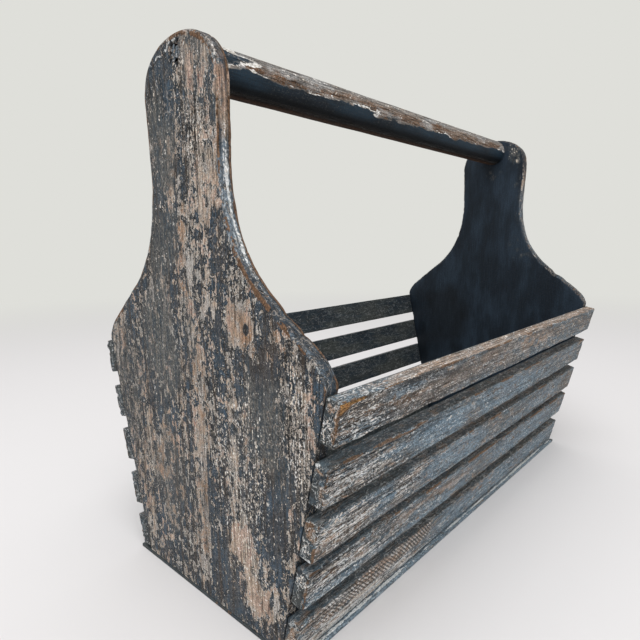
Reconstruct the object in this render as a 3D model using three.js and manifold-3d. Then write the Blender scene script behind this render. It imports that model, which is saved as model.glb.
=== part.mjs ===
// Wooden tool caddy: two shaped end boards, a dowel handle between their heads, five slats on each
// leaning side, a thin floor panel underneath, and the screws, plugs, staples and brads that hold it.
// Millimetres, +Z up, X along the handle, origin on the ground under the middle of the caddy.

import * as THREE from 'three';
import { mergeVertices } from 'three/addons/utils/BufferGeometryUtils.js';
import Module from 'manifold-3d';

// Overall sizes
const CADDY_LENGTH = 436;
const GAP = 0.3;                        // between faces that touch

// Floor panel
const FLOOR_THICKNESS = 2.5;
const FLOOR_OVERHANG = 3;               // past the lower arris of the lowest slats

// End boards, half widths measured from the middle
const BOARD_THICKNESS = 10;
const BOARD_ARRIS = 1.2;                // worn bevel round both faces
const BASE_HALF_WIDTH = 74.6;
const SIDE_LEAN = THREE.MathUtils.degToRad(12.6);
const SHOULDER_MARGIN = 1.5;            // straight edge left above the top slat
const SHOULDER_RUN = 9.2;
const SHOULDER_RISE = 15.8;
const SHOULDER_EASE = 5.2;
const SWEEP_RUN = 34.4;
const SWEEP_RISE = 75.5;
const SWEEP_LOWER_EASE = 28;
const SWEEP_UPPER_EASE = 36;
const NECK_ABOVE_SHOULDER = 116;
const NECK_HALF_WIDTH = 35.6;
const NECK_LENGTH = 40;
const HEAD_HALF_WIDTH = 37;
const HEAD_RISE = 30.5;
const HEAD_SIDE_EASE = 19;
const HEAD_CROWN_EASE = 22;

// Slats
const SLATS_A_SIDE = 5;
const SLAT_WIDTH = 25.4;
const SLAT_THICKNESS = 9.8;
const SLAT_SPACING = 9.5;
const SLAT_ARRIS = 1;
const FRONT_DRIFT = [0, 1.4, -0.6, -1.2, 0];   // hand-set unevenness of each slat, from the bottom
const BACK_DRIFT = [0, -1, -0.4, -0.8, 0];

// Handle
const HANDLE_DIAMETER = 27.2;
const HANDLE_BELOW_CROWN = 0.2;

// Handle screws and the filler plugs over them
const SCREW_SHANK = 4;
const SCREW_HEAD = 8;
const SCREW_HEAD_DEPTH = 3;
const SCREW_BITE = 26;                  // length held by the dowel
const SCREW_POINT = 4;
const SCREW_ABOVE_AXIS = 3;            // drilled a little high
const PLUG_DIAMETER = 9.6;
const PLUG_DEPTH = 2.4;

// Staples, one at each slat end
const STAPLE_CROWN = 7;
const STAPLE_WIRE = 1.2;
const STAPLE_BITE = 10;                 // leg length held by the end board
const STAPLE_SUNK = 0.6;

// Brads through the floor panel
const BRAD_SHANK = 1.4;
const BRAD_HEAD = 2.8;
const BRAD_HEAD_DEPTH = 0.8;
const BRAD_BITE = 13;
const BRAD_POINT = 1.6;
const BRAD_SUNK = 0.3;
const BRADS_A_SIDE = 3;
const BRAD_EDGE = 18;                   // outer brads from the corners of what they hold

// Facets
const CURVE_STEPS = 12;
const ARRIS_STEPS = 3;
const BEVEL_STEPS = 2;
const SCREW_STEPS = 20;
const BRAD_STEPS = 10;
const HANDLE_STEPS = 48;
const MERGE_DISTANCE = 1e-4;

// Heights and places that follow from the sizes
const BOARD_BOTTOM = FLOOR_THICKNESS + GAP;
const LEAN_OUT = Math.tan(SIDE_LEAN);
const SLAT_FOOT = (GAP + SLAT_THICKNESS) * LEAN_OUT + GAP / Math.cos(SIDE_LEAN);
const SLAT_PITCH = SLAT_WIDTH + SLAT_SPACING;
const STACK_TOP = SLAT_FOOT + (SLATS_A_SIDE - 1) * SLAT_PITCH + SLAT_WIDTH;
const EDGE_LENGTH = STACK_TOP + SHOULDER_MARGIN;
const SHOULDER_Z = BOARD_BOTTOM + EDGE_LENGTH * Math.cos(SIDE_LEAN);
const SHOULDER_HALF_WIDTH = BASE_HALF_WIDTH + EDGE_LENGTH * Math.sin(SIDE_LEAN);
const NECK_Z = SHOULDER_Z + NECK_ABOVE_SHOULDER;
const HEAD_Z = NECK_Z + NECK_LENGTH;
const CROWN_Z = HEAD_Z + HEAD_RISE;
const HANDLE_Z = CROWN_Z - HANDLE_BELOW_CROWN - HANDLE_DIAMETER / 2;
const SCREW_Z = HANDLE_Z + SCREW_ABOVE_AXIS;
const BOARD_MIDDLE_X = CADDY_LENGTH / 2 - BOARD_THICKNESS / 2;
const LOWEST_SLAT_REACH = BASE_HALF_WIDTH + SLAT_FOOT * Math.sin(SIDE_LEAN)
  + (GAP + SLAT_THICKNESS) * Math.cos(SIDE_LEAN);
const FLOOR_HALF_WIDTH = LOWEST_SLAT_REACH + FLOOR_OVERHANG;

const ENDS = [['left', -1], ['right', 1]];
const SIDES = [['front', -1, FRONT_DRIFT], ['back', 1, BACK_DRIFT]];

// Finishes of the paint, the filler and the steel
const PAINTED_BOARD = { color: 0x5a5f63, roughness: 0.75, metalness: 0 };
const PAINTED_SLAT = { color: 0x70767b, roughness: 0.8, metalness: 0 };
const PAINTED_DOWEL = { color: 0x4b5157, roughness: 0.6, metalness: 0 };
const PAINTED_PANEL = { color: 0x3d444b, roughness: 0.85, metalness: 0 };
const WOOD_FILLER = { color: 0x4a5058, roughness: 0.9, metalness: 0 };
const BRIGHT_STEEL = { color: 0x9a9c9e, roughness: 0.35, metalness: 1 };

const wasm = await Module();
wasm.setup();

// A closed geometry as a solid that can be cut
function solidOf(geometry) {
  const bare = geometry.clone();
  bare.deleteAttribute('normal');
  bare.deleteAttribute('uv');
  const merged = mergeVertices(bare, MERGE_DISTANCE);
  const corners = Array.from(merged.index.array);
  const triangles = [];
  for (let i = 0; i < corners.length; i += 3) {
    const [a, b, c] = corners.slice(i, i + 3);
    if (a !== b && b !== c && c !== a) triangles.push(a, b, c);
  }
  return new wasm.Manifold(new wasm.Mesh({
    numProp: 3,
    vertProperties: new Float32Array(merged.attributes.position.array),
    triVerts: new Uint32Array(triangles),
  }));
}

// A solid back as a geometry
function geometryOf(solid) {
  const mesh = solid.getMesh();
  const geometry = new THREE.BufferGeometry();
  geometry.setAttribute('position', new THREE.BufferAttribute(mesh.vertProperties, 3));
  geometry.setIndex(new THREE.BufferAttribute(mesh.triVerts, 1));
  geometry.computeVertexNormals();
  return geometry;
}

// One geometry with the others cut out of it
function cut(geometry, tools) {
  let solid = solidOf(geometry);
  for (const tool of tools) solid = solid.subtract(solidOf(tool));
  return geometryOf(solid);
}

// A copy of a geometry carried by a matrix
const carried = (geometry, matrix) => geometry.clone().applyMatrix4(matrix);

// Shapes are drawn with Y across and Z up, then extruded along X about the middle
function alongX(shape, length, bevel) {
  const geometry = new THREE.ExtrudeGeometry(shape, {
    depth: length - 2 * bevel,
    steps: 1,
    curveSegments: ARRIS_STEPS,
    bevelEnabled: bevel > 0,
    bevelThickness: bevel,
    bevelSize: bevel,
    bevelOffset: -bevel,
    bevelSegments: BEVEL_STEPS,
  });
  geometry.translate(0, 0, bevel - length / 2);
  const across = new THREE.Vector3(0, 1, 0);
  const up = new THREE.Vector3(0, 0, 1);
  const along = new THREE.Vector3(1, 0, 0);
  return geometry.applyMatrix4(new THREE.Matrix4().makeBasis(across, up, along));
}

// A rectangle with rounded corners, from its lower left corner
function roundedRectangle(x, y, width, height, radius) {
  const shape = new THREE.Shape();
  shape.moveTo(x + radius, y);
  shape.lineTo(x + width - radius, y);
  shape.quadraticCurveTo(x + width, y, x + width, y + radius);
  shape.lineTo(x + width, y + height - radius);
  shape.quadraticCurveTo(x + width, y + height, x + width - radius, y + height);
  shape.lineTo(x + radius, y + height);
  shape.quadraticCurveTo(x, y + height, x, y + height - radius);
  shape.lineTo(x, y + radius);
  shape.quadraticCurveTo(x, y, x + radius, y);
  return shape;
}

// Half the outline of an end board, from the base up to the crown, as curves on one side
function boardOutline() {
  const lean = new THREE.Vector2(Math.sin(SIDE_LEAN), Math.cos(SIDE_LEAN));
  const base = new THREE.Vector2(BASE_HALF_WIDTH, BOARD_BOTTOM);
  const shoulder = new THREE.Vector2(SHOULDER_HALF_WIDTH, SHOULDER_Z);
  const rampLow = shoulder.clone().add(new THREE.Vector2(-SHOULDER_RUN, SHOULDER_RISE));
  const neckLow = new THREE.Vector2(NECK_HALF_WIDTH, NECK_Z);
  const rampHigh = neckLow.clone().add(new THREE.Vector2(SWEEP_RUN, -SWEEP_RISE));
  const ramp = rampHigh.clone().sub(rampLow).normalize();
  const headLow = new THREE.Vector2(HEAD_HALF_WIDTH, HEAD_Z);
  const crown = new THREE.Vector2(0, CROWN_Z);
  const up = new THREE.Vector2(0, 1);
  const inward = new THREE.Vector2(-1, 0);
  const from = (point, direction, distance) => point.clone().addScaledVector(direction, distance);
  return [
    new THREE.LineCurve(base, shoulder),
    new THREE.CubicBezierCurve(shoulder, from(shoulder, lean, SHOULDER_EASE),
      from(rampLow, ramp, -SHOULDER_EASE), rampLow),
    new THREE.LineCurve(rampLow, rampHigh),
    new THREE.CubicBezierCurve(rampHigh, from(rampHigh, ramp, SWEEP_LOWER_EASE),
      from(neckLow, up, -SWEEP_UPPER_EASE), neckLow),
    new THREE.LineCurve(neckLow, headLow),
    new THREE.CubicBezierCurve(headLow, from(headLow, up, HEAD_SIDE_EASE),
      from(crown, inward, -HEAD_CROWN_EASE), crown),
  ];
}

function endBoardShape() {
  const half = [];
  for (const curve of boardOutline()) {
    const steps = curve.isLineCurve ? 1 : CURVE_STEPS;
    half.push(...curve.getPoints(steps).slice(0, -1));
  }
  const mirrored = half.map((point) => new THREE.Vector2(-point.x, point.y)).reverse();
  return new THREE.Shape([...half, new THREE.Vector2(0, CROWN_Z), ...mirrored]);
}

// Turned pieces are drawn as radius and height pairs about Z, starting and ending on the axis
function turned(profile, steps) {
  const points = profile.map(([radius, height]) => new THREE.Vector2(radius, height));
  const geometry = new THREE.LatheGeometry(points, steps);
  return geometry.rotateX(Math.PI / 2);
}

// Countersunk screw along +Z with the face of its head at zero, grown all round by a clearance
function screw(clearance) {
  const shank = SCREW_SHANK / 2 + clearance;
  const head = SCREW_HEAD / 2 + clearance;
  const length = BOARD_THICKNESS - PLUG_DEPTH + SCREW_BITE;
  return turned([
    [0, -clearance],
    [head, -clearance],
    [shank, SCREW_HEAD_DEPTH],
    [shank, length - SCREW_POINT],
    [0, length + clearance],
  ], SCREW_STEPS);
}

// Filler plug along +Z with its outer face at zero
function plug(clearance) {
  const geometry = new THREE.CylinderGeometry(
    PLUG_DIAMETER / 2 + clearance, PLUG_DIAMETER / 2 + clearance, PLUG_DEPTH + clearance, SCREW_STEPS);
  geometry.rotateX(Math.PI / 2);
  return geometry.translate(0, 0, (PLUG_DEPTH - clearance) / 2);
}

// Staple in a slat's own frame: crown along Z, legs towards -Y, the back of its crown at zero
function staple(clearance, open) {
  const reach = STAPLE_CROWN / 2 + clearance;
  const inner = STAPLE_CROWN / 2 - STAPLE_WIRE - clearance;
  const legs = SLAT_THICKNESS - STAPLE_SUNK + GAP + STAPLE_BITE + clearance;
  const shape = new THREE.Shape();
  shape.moveTo(open, -reach);
  shape.lineTo(open, reach);
  shape.lineTo(-legs, reach);
  shape.lineTo(-legs, inner);
  shape.lineTo(-STAPLE_WIRE - clearance, inner);
  shape.lineTo(-STAPLE_WIRE - clearance, -inner);
  shape.lineTo(-legs, -inner);
  shape.lineTo(-legs, -reach);
  return alongX(shape, STAPLE_WIRE + 2 * clearance, 0);
}

// Brad along +Z with the face of its head at zero; open carries its hole down to the underside
function brad(clearance, open) {
  const shank = BRAD_SHANK / 2 + clearance;
  const head = BRAD_HEAD / 2 + clearance;
  const length = FLOOR_THICKNESS - BRAD_SUNK + BRAD_BITE;
  return turned([
    [0, -open],
    [head, -open],
    [head, BRAD_HEAD_DEPTH + clearance],
    [shank, BRAD_HEAD_DEPTH + clearance],
    [shank, length - BRAD_POINT],
    [0, length + clearance],
  ], BRAD_STEPS);
}

// Frame of one slat: its inner face on the leaning edge of the boards, Z up that edge, Y outwards
function slatFrame(side, drift, index) {
  const rise = SLAT_FOOT + index * SLAT_PITCH + drift;
  const up = new THREE.Vector3(0, side * Math.sin(SIDE_LEAN), Math.cos(SIDE_LEAN));
  const out = new THREE.Vector3(0, side * Math.cos(SIDE_LEAN), -Math.sin(SIDE_LEAN));
  const along = new THREE.Vector3().crossVectors(out, up);
  const origin = new THREE.Vector3(0, side * BASE_HALF_WIDTH, BOARD_BOTTOM)
    .addScaledVector(up, rise)
    .addScaledVector(out, GAP);
  return new THREE.Matrix4().makeBasis(along, out, up).setPosition(origin);
}

// Place of the staple at one end of a slat, in the slat's frame, whose X runs the other way in front
function stapleFrame(side, end) {
  const back = SLAT_THICKNESS - STAPLE_SUNK;
  return new THREE.Matrix4().makeTranslation(side * end * BOARD_MIDDLE_X, back, SLAT_WIDTH / 2);
}

// Places of the brads, by what they hold: heads in the underside of the floor panel
function bradPlaces() {
  const places = [];
  const spread = (half, i) => -half + (2 * half * i) / (BRADS_A_SIDE - 1);
  const middleOfSlat = BASE_HALF_WIDTH + SLAT_FOOT * Math.sin(SIDE_LEAN)
    + (GAP + SLAT_THICKNESS / 2) * Math.cos(SIDE_LEAN) + (BRAD_BITE / 2) * LEAN_OUT;
  for (let i = 0; i < BRADS_A_SIDE; i += 1) {
    for (const [name, end] of ENDS) {
      const y = spread(BASE_HALF_WIDTH - BRAD_EDGE, i);
      places.push({ name: `floor_brad_${name}_${i + 1}`, x: end * BOARD_MIDDLE_X, y });
    }
    for (const [name, side] of SIDES) {
      const x = spread(CADDY_LENGTH / 2 - BOARD_THICKNESS - BRAD_EDGE, i);
      places.push({ name: `floor_brad_${name}_${i + 1}`, x, y: side * middleOfSlat });
    }
  }
  return places;
}

const bradMatrix = ({ x, y }) => new THREE.Matrix4().makeTranslation(x, y, BRAD_SUNK);

// Screw and plug face outwards at each end: their own +Z points to the middle of the caddy
function endFrame(end, depth) {
  const matrix = new THREE.Matrix4().makeRotationY(-end * Math.PI / 2);
  return matrix.setPosition(end * (CADDY_LENGTH / 2 - depth), 0, SCREW_Z);
}

const caddy = new THREE.Group();

function addPiece(name, geometry, finish, matrix) {
  const mesh = new THREE.Mesh(geometry, new THREE.MeshStandardMaterial(finish));
  mesh.name = name;
  if (matrix) matrix.decompose(mesh.position, mesh.quaternion, mesh.scale);
  caddy.add(mesh);
}

const brads = bradPlaces();
const bradHoles = brads.map((place) => carried(brad(GAP, BRAD_SUNK + GAP), bradMatrix(place)));
const screwHole = (end) => carried(screw(GAP), endFrame(end, PLUG_DEPTH + GAP));
const plugHole = (end) => carried(plug(GAP), endFrame(end, 0));

// Slats with a recess for each staple
const slatShape = roundedRectangle(0, 0, SLAT_THICKNESS, SLAT_WIDTH, SLAT_ARRIS);
const stapleHoles = [];
for (const [sideName, side, drifts] of SIDES) {
  for (let i = 0; i < SLATS_A_SIDE; i += 1) {
    const frame = slatFrame(side, drifts[i % drifts.length], i);
    const tools = ENDS.map(([, end]) => carried(staple(GAP, STAPLE_SUNK + GAP), stapleFrame(side, end)));
    for (const tool of tools) stapleHoles.push(carried(tool, frame));
    if (i === 0) {
      const toSlat = frame.clone().invert();
      tools.push(...bradHoles.map((hole) => carried(hole, toSlat)));
    }
    const slat = cut(alongX(slatShape, CADDY_LENGTH, 0), tools);
    addPiece(`slat_${sideName}_${i + 1}`, slat, PAINTED_SLAT, frame);
    for (const [endName, end] of ENDS) {
      const place = frame.clone().multiply(stapleFrame(side, end));
      addPiece(`staple_${sideName}_${i + 1}_${endName}`, staple(0, 0), BRIGHT_STEEL, place);
    }
  }
}

// End boards, each with its screw, plug, staples and brads let in
for (const [name, end] of ENDS) {
  const board = alongX(endBoardShape(), BOARD_THICKNESS, BOARD_ARRIS);
  board.translate(end * BOARD_MIDDLE_X, 0, 0);
  const tools = [screwHole(end), plugHole(end), ...stapleHoles, ...bradHoles];
  addPiece(`end_board_${name}`, cut(board, tools), PAINTED_BOARD);
  addPiece(`handle_screw_${name}`, screw(0), BRIGHT_STEEL, endFrame(end, PLUG_DEPTH + GAP));
  addPiece(`screw_plug_${name}`, plug(0), WOOD_FILLER, endFrame(end, 0));
}

// Dowel handle between the inner faces of the boards
const handleLength = CADDY_LENGTH - 2 * BOARD_THICKNESS - 2 * GAP;
const handleRadius = HANDLE_DIAMETER / 2;
const dowel = new THREE.CylinderGeometry(handleRadius, handleRadius, handleLength, HANDLE_STEPS);
dowel.rotateZ(Math.PI / 2);
dowel.translate(0, 0, HANDLE_Z);
addPiece('handle_dowel', cut(dowel, ENDS.map(([, end]) => screwHole(end))), PAINTED_DOWEL);

// Floor panel with its brads
const panel = new THREE.BoxGeometry(CADDY_LENGTH, 2 * FLOOR_HALF_WIDTH, FLOOR_THICKNESS);
panel.translate(0, 0, FLOOR_THICKNESS / 2);
addPiece('floor_panel', cut(panel, bradHoles), PAINTED_PANEL);
for (const place of brads) addPiece(place.name, brad(0, 0), BRIGHT_STEEL, bradMatrix(place));

export default caddy;
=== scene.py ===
"""Looks of a wooden tool caddy: two shaped end boards, ten side slats, a dowel handle, a thin floor
panel and two filler plugs, all in slate paint worn through to undercoat and bare pine. The frame is
in metres with +Z up; sizes in this file are in millimetres unless a name says otherwise."""
import itertools
import math

import bmesh
import bpy
import numpy as np
from mathutils import Matrix, Vector


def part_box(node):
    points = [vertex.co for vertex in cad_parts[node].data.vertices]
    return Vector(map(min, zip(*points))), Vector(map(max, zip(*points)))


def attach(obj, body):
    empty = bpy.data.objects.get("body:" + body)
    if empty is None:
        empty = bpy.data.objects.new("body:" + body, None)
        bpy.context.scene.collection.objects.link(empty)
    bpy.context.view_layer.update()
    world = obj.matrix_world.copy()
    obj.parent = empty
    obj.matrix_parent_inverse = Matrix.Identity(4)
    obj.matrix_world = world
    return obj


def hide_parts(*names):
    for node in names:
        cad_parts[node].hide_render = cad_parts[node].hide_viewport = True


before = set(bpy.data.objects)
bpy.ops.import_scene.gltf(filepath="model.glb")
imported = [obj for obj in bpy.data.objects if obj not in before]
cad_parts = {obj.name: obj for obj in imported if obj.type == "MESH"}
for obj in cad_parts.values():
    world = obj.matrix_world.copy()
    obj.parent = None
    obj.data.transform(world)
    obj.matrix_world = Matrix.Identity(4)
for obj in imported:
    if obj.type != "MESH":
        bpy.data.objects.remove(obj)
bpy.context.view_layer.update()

MM = 0.001
WELD_DISTANCE = 0.002
SIDE_LEAN = math.radians(12.6)
SLATS_A_SIDE = 5
# What wear has done to a place: paint gone, wood browned, arris rubbed raw, pale flakes left, grey film,
# chalky paint, white lime and painted highlights, whole dark paint, rough crackle, dirt and painted
# shade
WEAR_MARKS = ("bare", "warm", "rub", "pale", "film", "chalk", "white_lime_and_highlight", "dark", "rough", "grime_and_shade")

# End boards: half width and height where the half outline turns, and the handles of its curves
BOARD_BASE = (74.6, 2.8)
BOARD_SHOULDER = (111.5, 167.8)
SHOULDER_TOP = (102.3, 183.6)
SWEEP_FOOT = (70.0, 208.3)
NECK_FOOT = (35.6, 283.8)
HEAD_FOOT = (37.0, 323.8)
BOARD_CROWN = (0.0, 354.25)
BOARD_OUTLINE = (
    (BOARD_BASE, BOARD_SHOULDER),
    (BOARD_SHOULDER, (112.6, 172.9), (106.4, 180.4), SHOULDER_TOP),
    (SHOULDER_TOP, SWEEP_FOOT),
    (SWEEP_FOOT, (47.8, 225.3), (35.6, 247.8), NECK_FOOT),
    (NECK_FOOT, HEAD_FOOT),
    (HEAD_FOOT, (37.0, 342.8), (22.0, 354.25), BOARD_CROWN),
)
# End boards: points along the outline, up the board and across its faces, and sizes of its arrises
OUTLINE_STEPS = 200
BOARD_ROWS = 400
BOARD_OUTER_COLUMNS = 132
BOARD_INNER_COLUMNS = 40
BOARD_BASE_EASE = 12.0
SHOULDER_HEIGHT = 168.0
ARRIS_UNDER_SLATS = 0.45
ARRIS_ROUNDED = 2.1
ARRIS_LIMITS = (0.5, 3.2)
ARRIS_WANDER = 0.28
NICK_DEPTH = 0.5
CALM_CROWN = 40.0
REAR_ARRIS = 3.0
ARC_STEPS = 7
END_ARC_STEPS = 5
EDGE_STEPS = 6

# Slats: points round the section on each side, and steps along the length
SLAT_SIDE_COLUMNS = (54, 10, 12, 8)
SLAT_STEP = 1.6
SLAT_RIPPLE_STEP = 0.55
SLAT_ARRIS = 1.1
SLAT_END_RINGS = 9
SLAT_TEAR = 1.3
# Shares of its arris that a bar has outside below and above, inside above and below, and at its ends
ARRIS_SHARES = (1, 1, 0.4, 0.4)
END_ARRIS_SHARE = 0.7

# Slanting saw ripple on the lowest front slat: waves a millimetre along it and up it, and its reach
RIPPLE_ALONG = 0.29
RIPPLE_UP = 0.32
RIPPLE_DEPTH = 0.32
RIPPLE_FROM = -206.0
RIPPLE_TO = -66.0

# Floor panel, handle and plugs: steps, points round, eased arrises and rings of the closed ends
PANEL_STEP = 3.0
PANEL_ARRIS = 0.5
PANEL_SIDE_COLUMNS = (90, 4, 90, 4)
DOWEL_STEPS = 460
DOWEL_COLUMNS = 144
DOWEL_EASE = 0.8
DOWEL_END_RINGS = 8
PLUG_RINGS = 26
PLUG_BACK_RINGS = 8
PLUG_COLUMNS = 72
PLUG_TAPER = 1.0


def hills(seed, *axes):
    """Smooth random hills from -1 to 1: seeded heights on a whole-number lattice, eased from one
    lattice point to the next by 3t^2 - 2t^3 along each axis."""
    axes = np.broadcast_arrays(*axes)
    cells = 64
    heights = np.random.default_rng(seed).uniform(-1, 1, (cells,) * len(axes))
    floors = [np.floor(axis).astype(int) for axis in axes]
    eases = [(axis - low) ** 2 * (3 - 2 * (axis - low)) for axis, low in zip(axes, floors)]
    total = 0.0
    for corner in itertools.product((0, 1), repeat=len(axes)):
        weight = 1.0
        for step, ease in zip(corner, eases):
            weight = weight * (ease if step else 1 - ease)
        cell = tuple((low + step) % cells for low, step in zip(floors, corner))
        total = total + weight * heights[cell]
    return total


def rough_hills(seed, *axes, octaves=4):
    """Hills with finer hills on them: each octave is twice as fine and half as high as the last."""
    layers = [hills(seed + k, *(axis * 2**k for axis in axes)) / 2**k for k in range(octaves)]
    return sum(layers)


def ramp(value, start, end):
    """0 up to start and 1 from end on, eased by 3t^2 - 2t^3 between them."""
    t = np.clip((value - start) / (end - start), 0, 1)
    return t * t * (3 - 2 * t)


def between(value, start, end):
    """1 between two places and 0 outside them, eased in over the start span and out over the end."""
    return ramp(value, *start) * (1 - ramp(value, *end))


def bell(value, width):
    """1 where the value is zero, falling off to both sides by exp(-(value / width)^2)."""
    return np.exp(-((value / width) ** 2))


def spots(u, v, ovals):
    """Sum of soft-edged ovals, each (centre u, centre v, half u, half v, amount): the amount inside,
    eased to nothing over the rim."""
    total = np.zeros(np.broadcast(u, v).shape)
    for centre_u, centre_v, half_u, half_v, amount in ovals:
        reach = np.hypot((u - centre_u) / half_u, (v - centre_v) / half_v)
        total += amount * (1 - ramp(reach, 0.6, 1.2))
    return total


def mixed(first, second, share):
    """Wear of two surfaces: the second takes over from the first as the share goes from 0 to 1."""
    return {
        mark: first.get(mark, 0.0) * (1 - share) + second.get(mark, 0.0) * share for mark in WEAR_MARKS
    }


def node_box(name):
    """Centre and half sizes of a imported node's box, in millimetres."""
    low, high = np.array(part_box(name)) / MM
    return (low + high) / 2, (high - low) / 2


def grid_points(x, y, z):
    """Points of a grid from their three coordinates."""
    return np.stack(np.broadcast_arrays(x, y, z), axis=-1)


def grid_squares(rows, columns, closed, first=0):
    """Corner numbers of the squares between neighbouring points of a grid, whose points are numbered
    row by row from the first. A closed grid also joins its last column to its first."""
    index = first + np.arange(rows * columns).reshape(rows, columns)
    if closed:
        index = np.concatenate((index, index[:, :1]), axis=1)
    corners = (index[:-1, :-1], index[:-1, 1:], index[1:, 1:], index[1:, :-1])
    return np.stack(corners, axis=-1).reshape(-1, 4)


def weld(mesh, solid):
    """Joins the points that meet, and turns the faces of a solid outwards."""
    welded = bmesh.new()
    welded.from_mesh(mesh)
    bmesh.ops.remove_doubles(welded, verts=welded.verts, dist=WELD_DISTANCE * MM)
    if solid:
        bmesh.ops.recalc_face_normals(welded, faces=welded.faces)
    welded.to_mesh(mesh)
    welded.free()


def put_in_scene(name, data):
    """A new object that holds the mesh, lamp or camera."""
    made = bpy.data.objects.new(name, data)
    bpy.context.scene.collection.objects.link(made)
    return made


def make_piece(node_name, grids, finish):
    """One closed mesh from grids of points, with the wear of every point kept beside it."""
    squares = []
    marks = {mark: [] for mark in WEAR_MARKS}
    count = 0
    for grid in grids:
        shape = grid["points"].shape[:2]
        squares.append(grid_squares(*shape, grid.get("closed"), count))
        for mark in WEAR_MARKS:
            marks[mark].append(np.broadcast_to(grid.get(mark, 0.0), shape).ravel())
        count += shape[0] * shape[1]
    points = np.concatenate([grid["points"].reshape(-1, 3) for grid in grids])
    name = "worn_" + node_name
    mesh = bpy.data.meshes.new(name)
    mesh.from_pydata(points * MM, [], np.concatenate(squares))
    for mark in WEAR_MARKS:
        layer = mesh.attributes.new(mark, "FLOAT", "POINT")
        layer.data.foreach_set("value", np.concatenate(marks[mark]).astype(np.float32))
    weld(mesh, solid=True)
    mesh.polygons.foreach_set("use_smooth", np.ones(len(mesh.polygons), dtype=bool))
    mesh.materials.append(finish)
    piece = put_in_scene(name, mesh)
    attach(piece, "root")
    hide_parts(node_name)


# End boards


def board_rows():
    """Half outline of an end board as evenly spaced rows from base to crown: half width, height, and
    the inward normal. Each stretch is a line or a Bezier curve, its handles weighted by Bernstein
    polynomials; near the base the normal is eased to level so that the lowest row stays straight."""
    t = np.linspace(0, 1, OUTLINE_STEPS)[:, None]
    stretches = []
    for handles in BOARD_OUTLINE:
        degree = len(handles) - 1
        weights = [math.comb(degree, k) * t**k * (1 - t) ** (degree - k) for k in range(degree + 1)]
        stretches.append(sum(w * np.array(handle) for w, handle in zip(weights, handles)))
    outline = np.concatenate(stretches)
    length = np.concatenate(([0], np.cumsum(np.hypot(*np.diff(outline, axis=0).T))))
    along = np.linspace(0, length[-1], BOARD_ROWS)
    width = np.interp(along, length, outline[:, 0])
    height = np.interp(along, length, outline[:, 1])
    tangent = np.stack((np.gradient(width, along), np.gradient(height, along)))
    tangent /= np.hypot(*tangent)
    level = 1 - ramp(along, 0, BOARD_BASE_EASE)
    inward = np.stack((-tangent[1] * (1 - level) - level, tangent[0] * (1 - level)))
    inward[:, -1] = (0, -1)
    inward /= np.hypot(*inward)
    return along, width, height, inward


def arris_profile(radius, half):
    """From the middle of an edge to the face: a flat, then a quarter arc of the given radius. Gives
    each step's inset from the edge, its depth from the middle, and its turn round the arc."""
    turn = np.linspace(0, 1, ARC_STEPS) * math.pi / 2
    radius = radius[:, None]
    flat = np.linspace(0, 1, EDGE_STEPS, endpoint=False) * (half - radius)
    arc_inset = radius * (1 - np.cos(turn))
    arc_depth = half - radius + radius * np.sin(turn)
    inset = np.concatenate((np.zeros_like(flat), arc_inset), axis=1)
    depth = np.concatenate((flat, arc_depth), axis=1)
    turns = np.concatenate((np.zeros(EDGE_STEPS), turn / (math.pi / 2)))
    return inset, depth, np.broadcast_to(turns, inset.shape)


def above_shoulder(z):
    """1 above the shoulders of an end board and 0 below them, where the slats lie on its edges."""
    return ramp(z, SHOULDER_HEIGHT - 8, SHOULDER_HEIGHT + 4)


# Notches in the boards' arrises: side (1 is +Y), height, reach along the edge, depth
EDGE_NOTCHES = (
    (-1, 202.0, 2.2, 1.3), (-1, 193.0, 1.5, 0.5), (1, 246.0, 2.0, 0.35), (1, 331.0, 1.5, 0.3),
)


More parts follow.
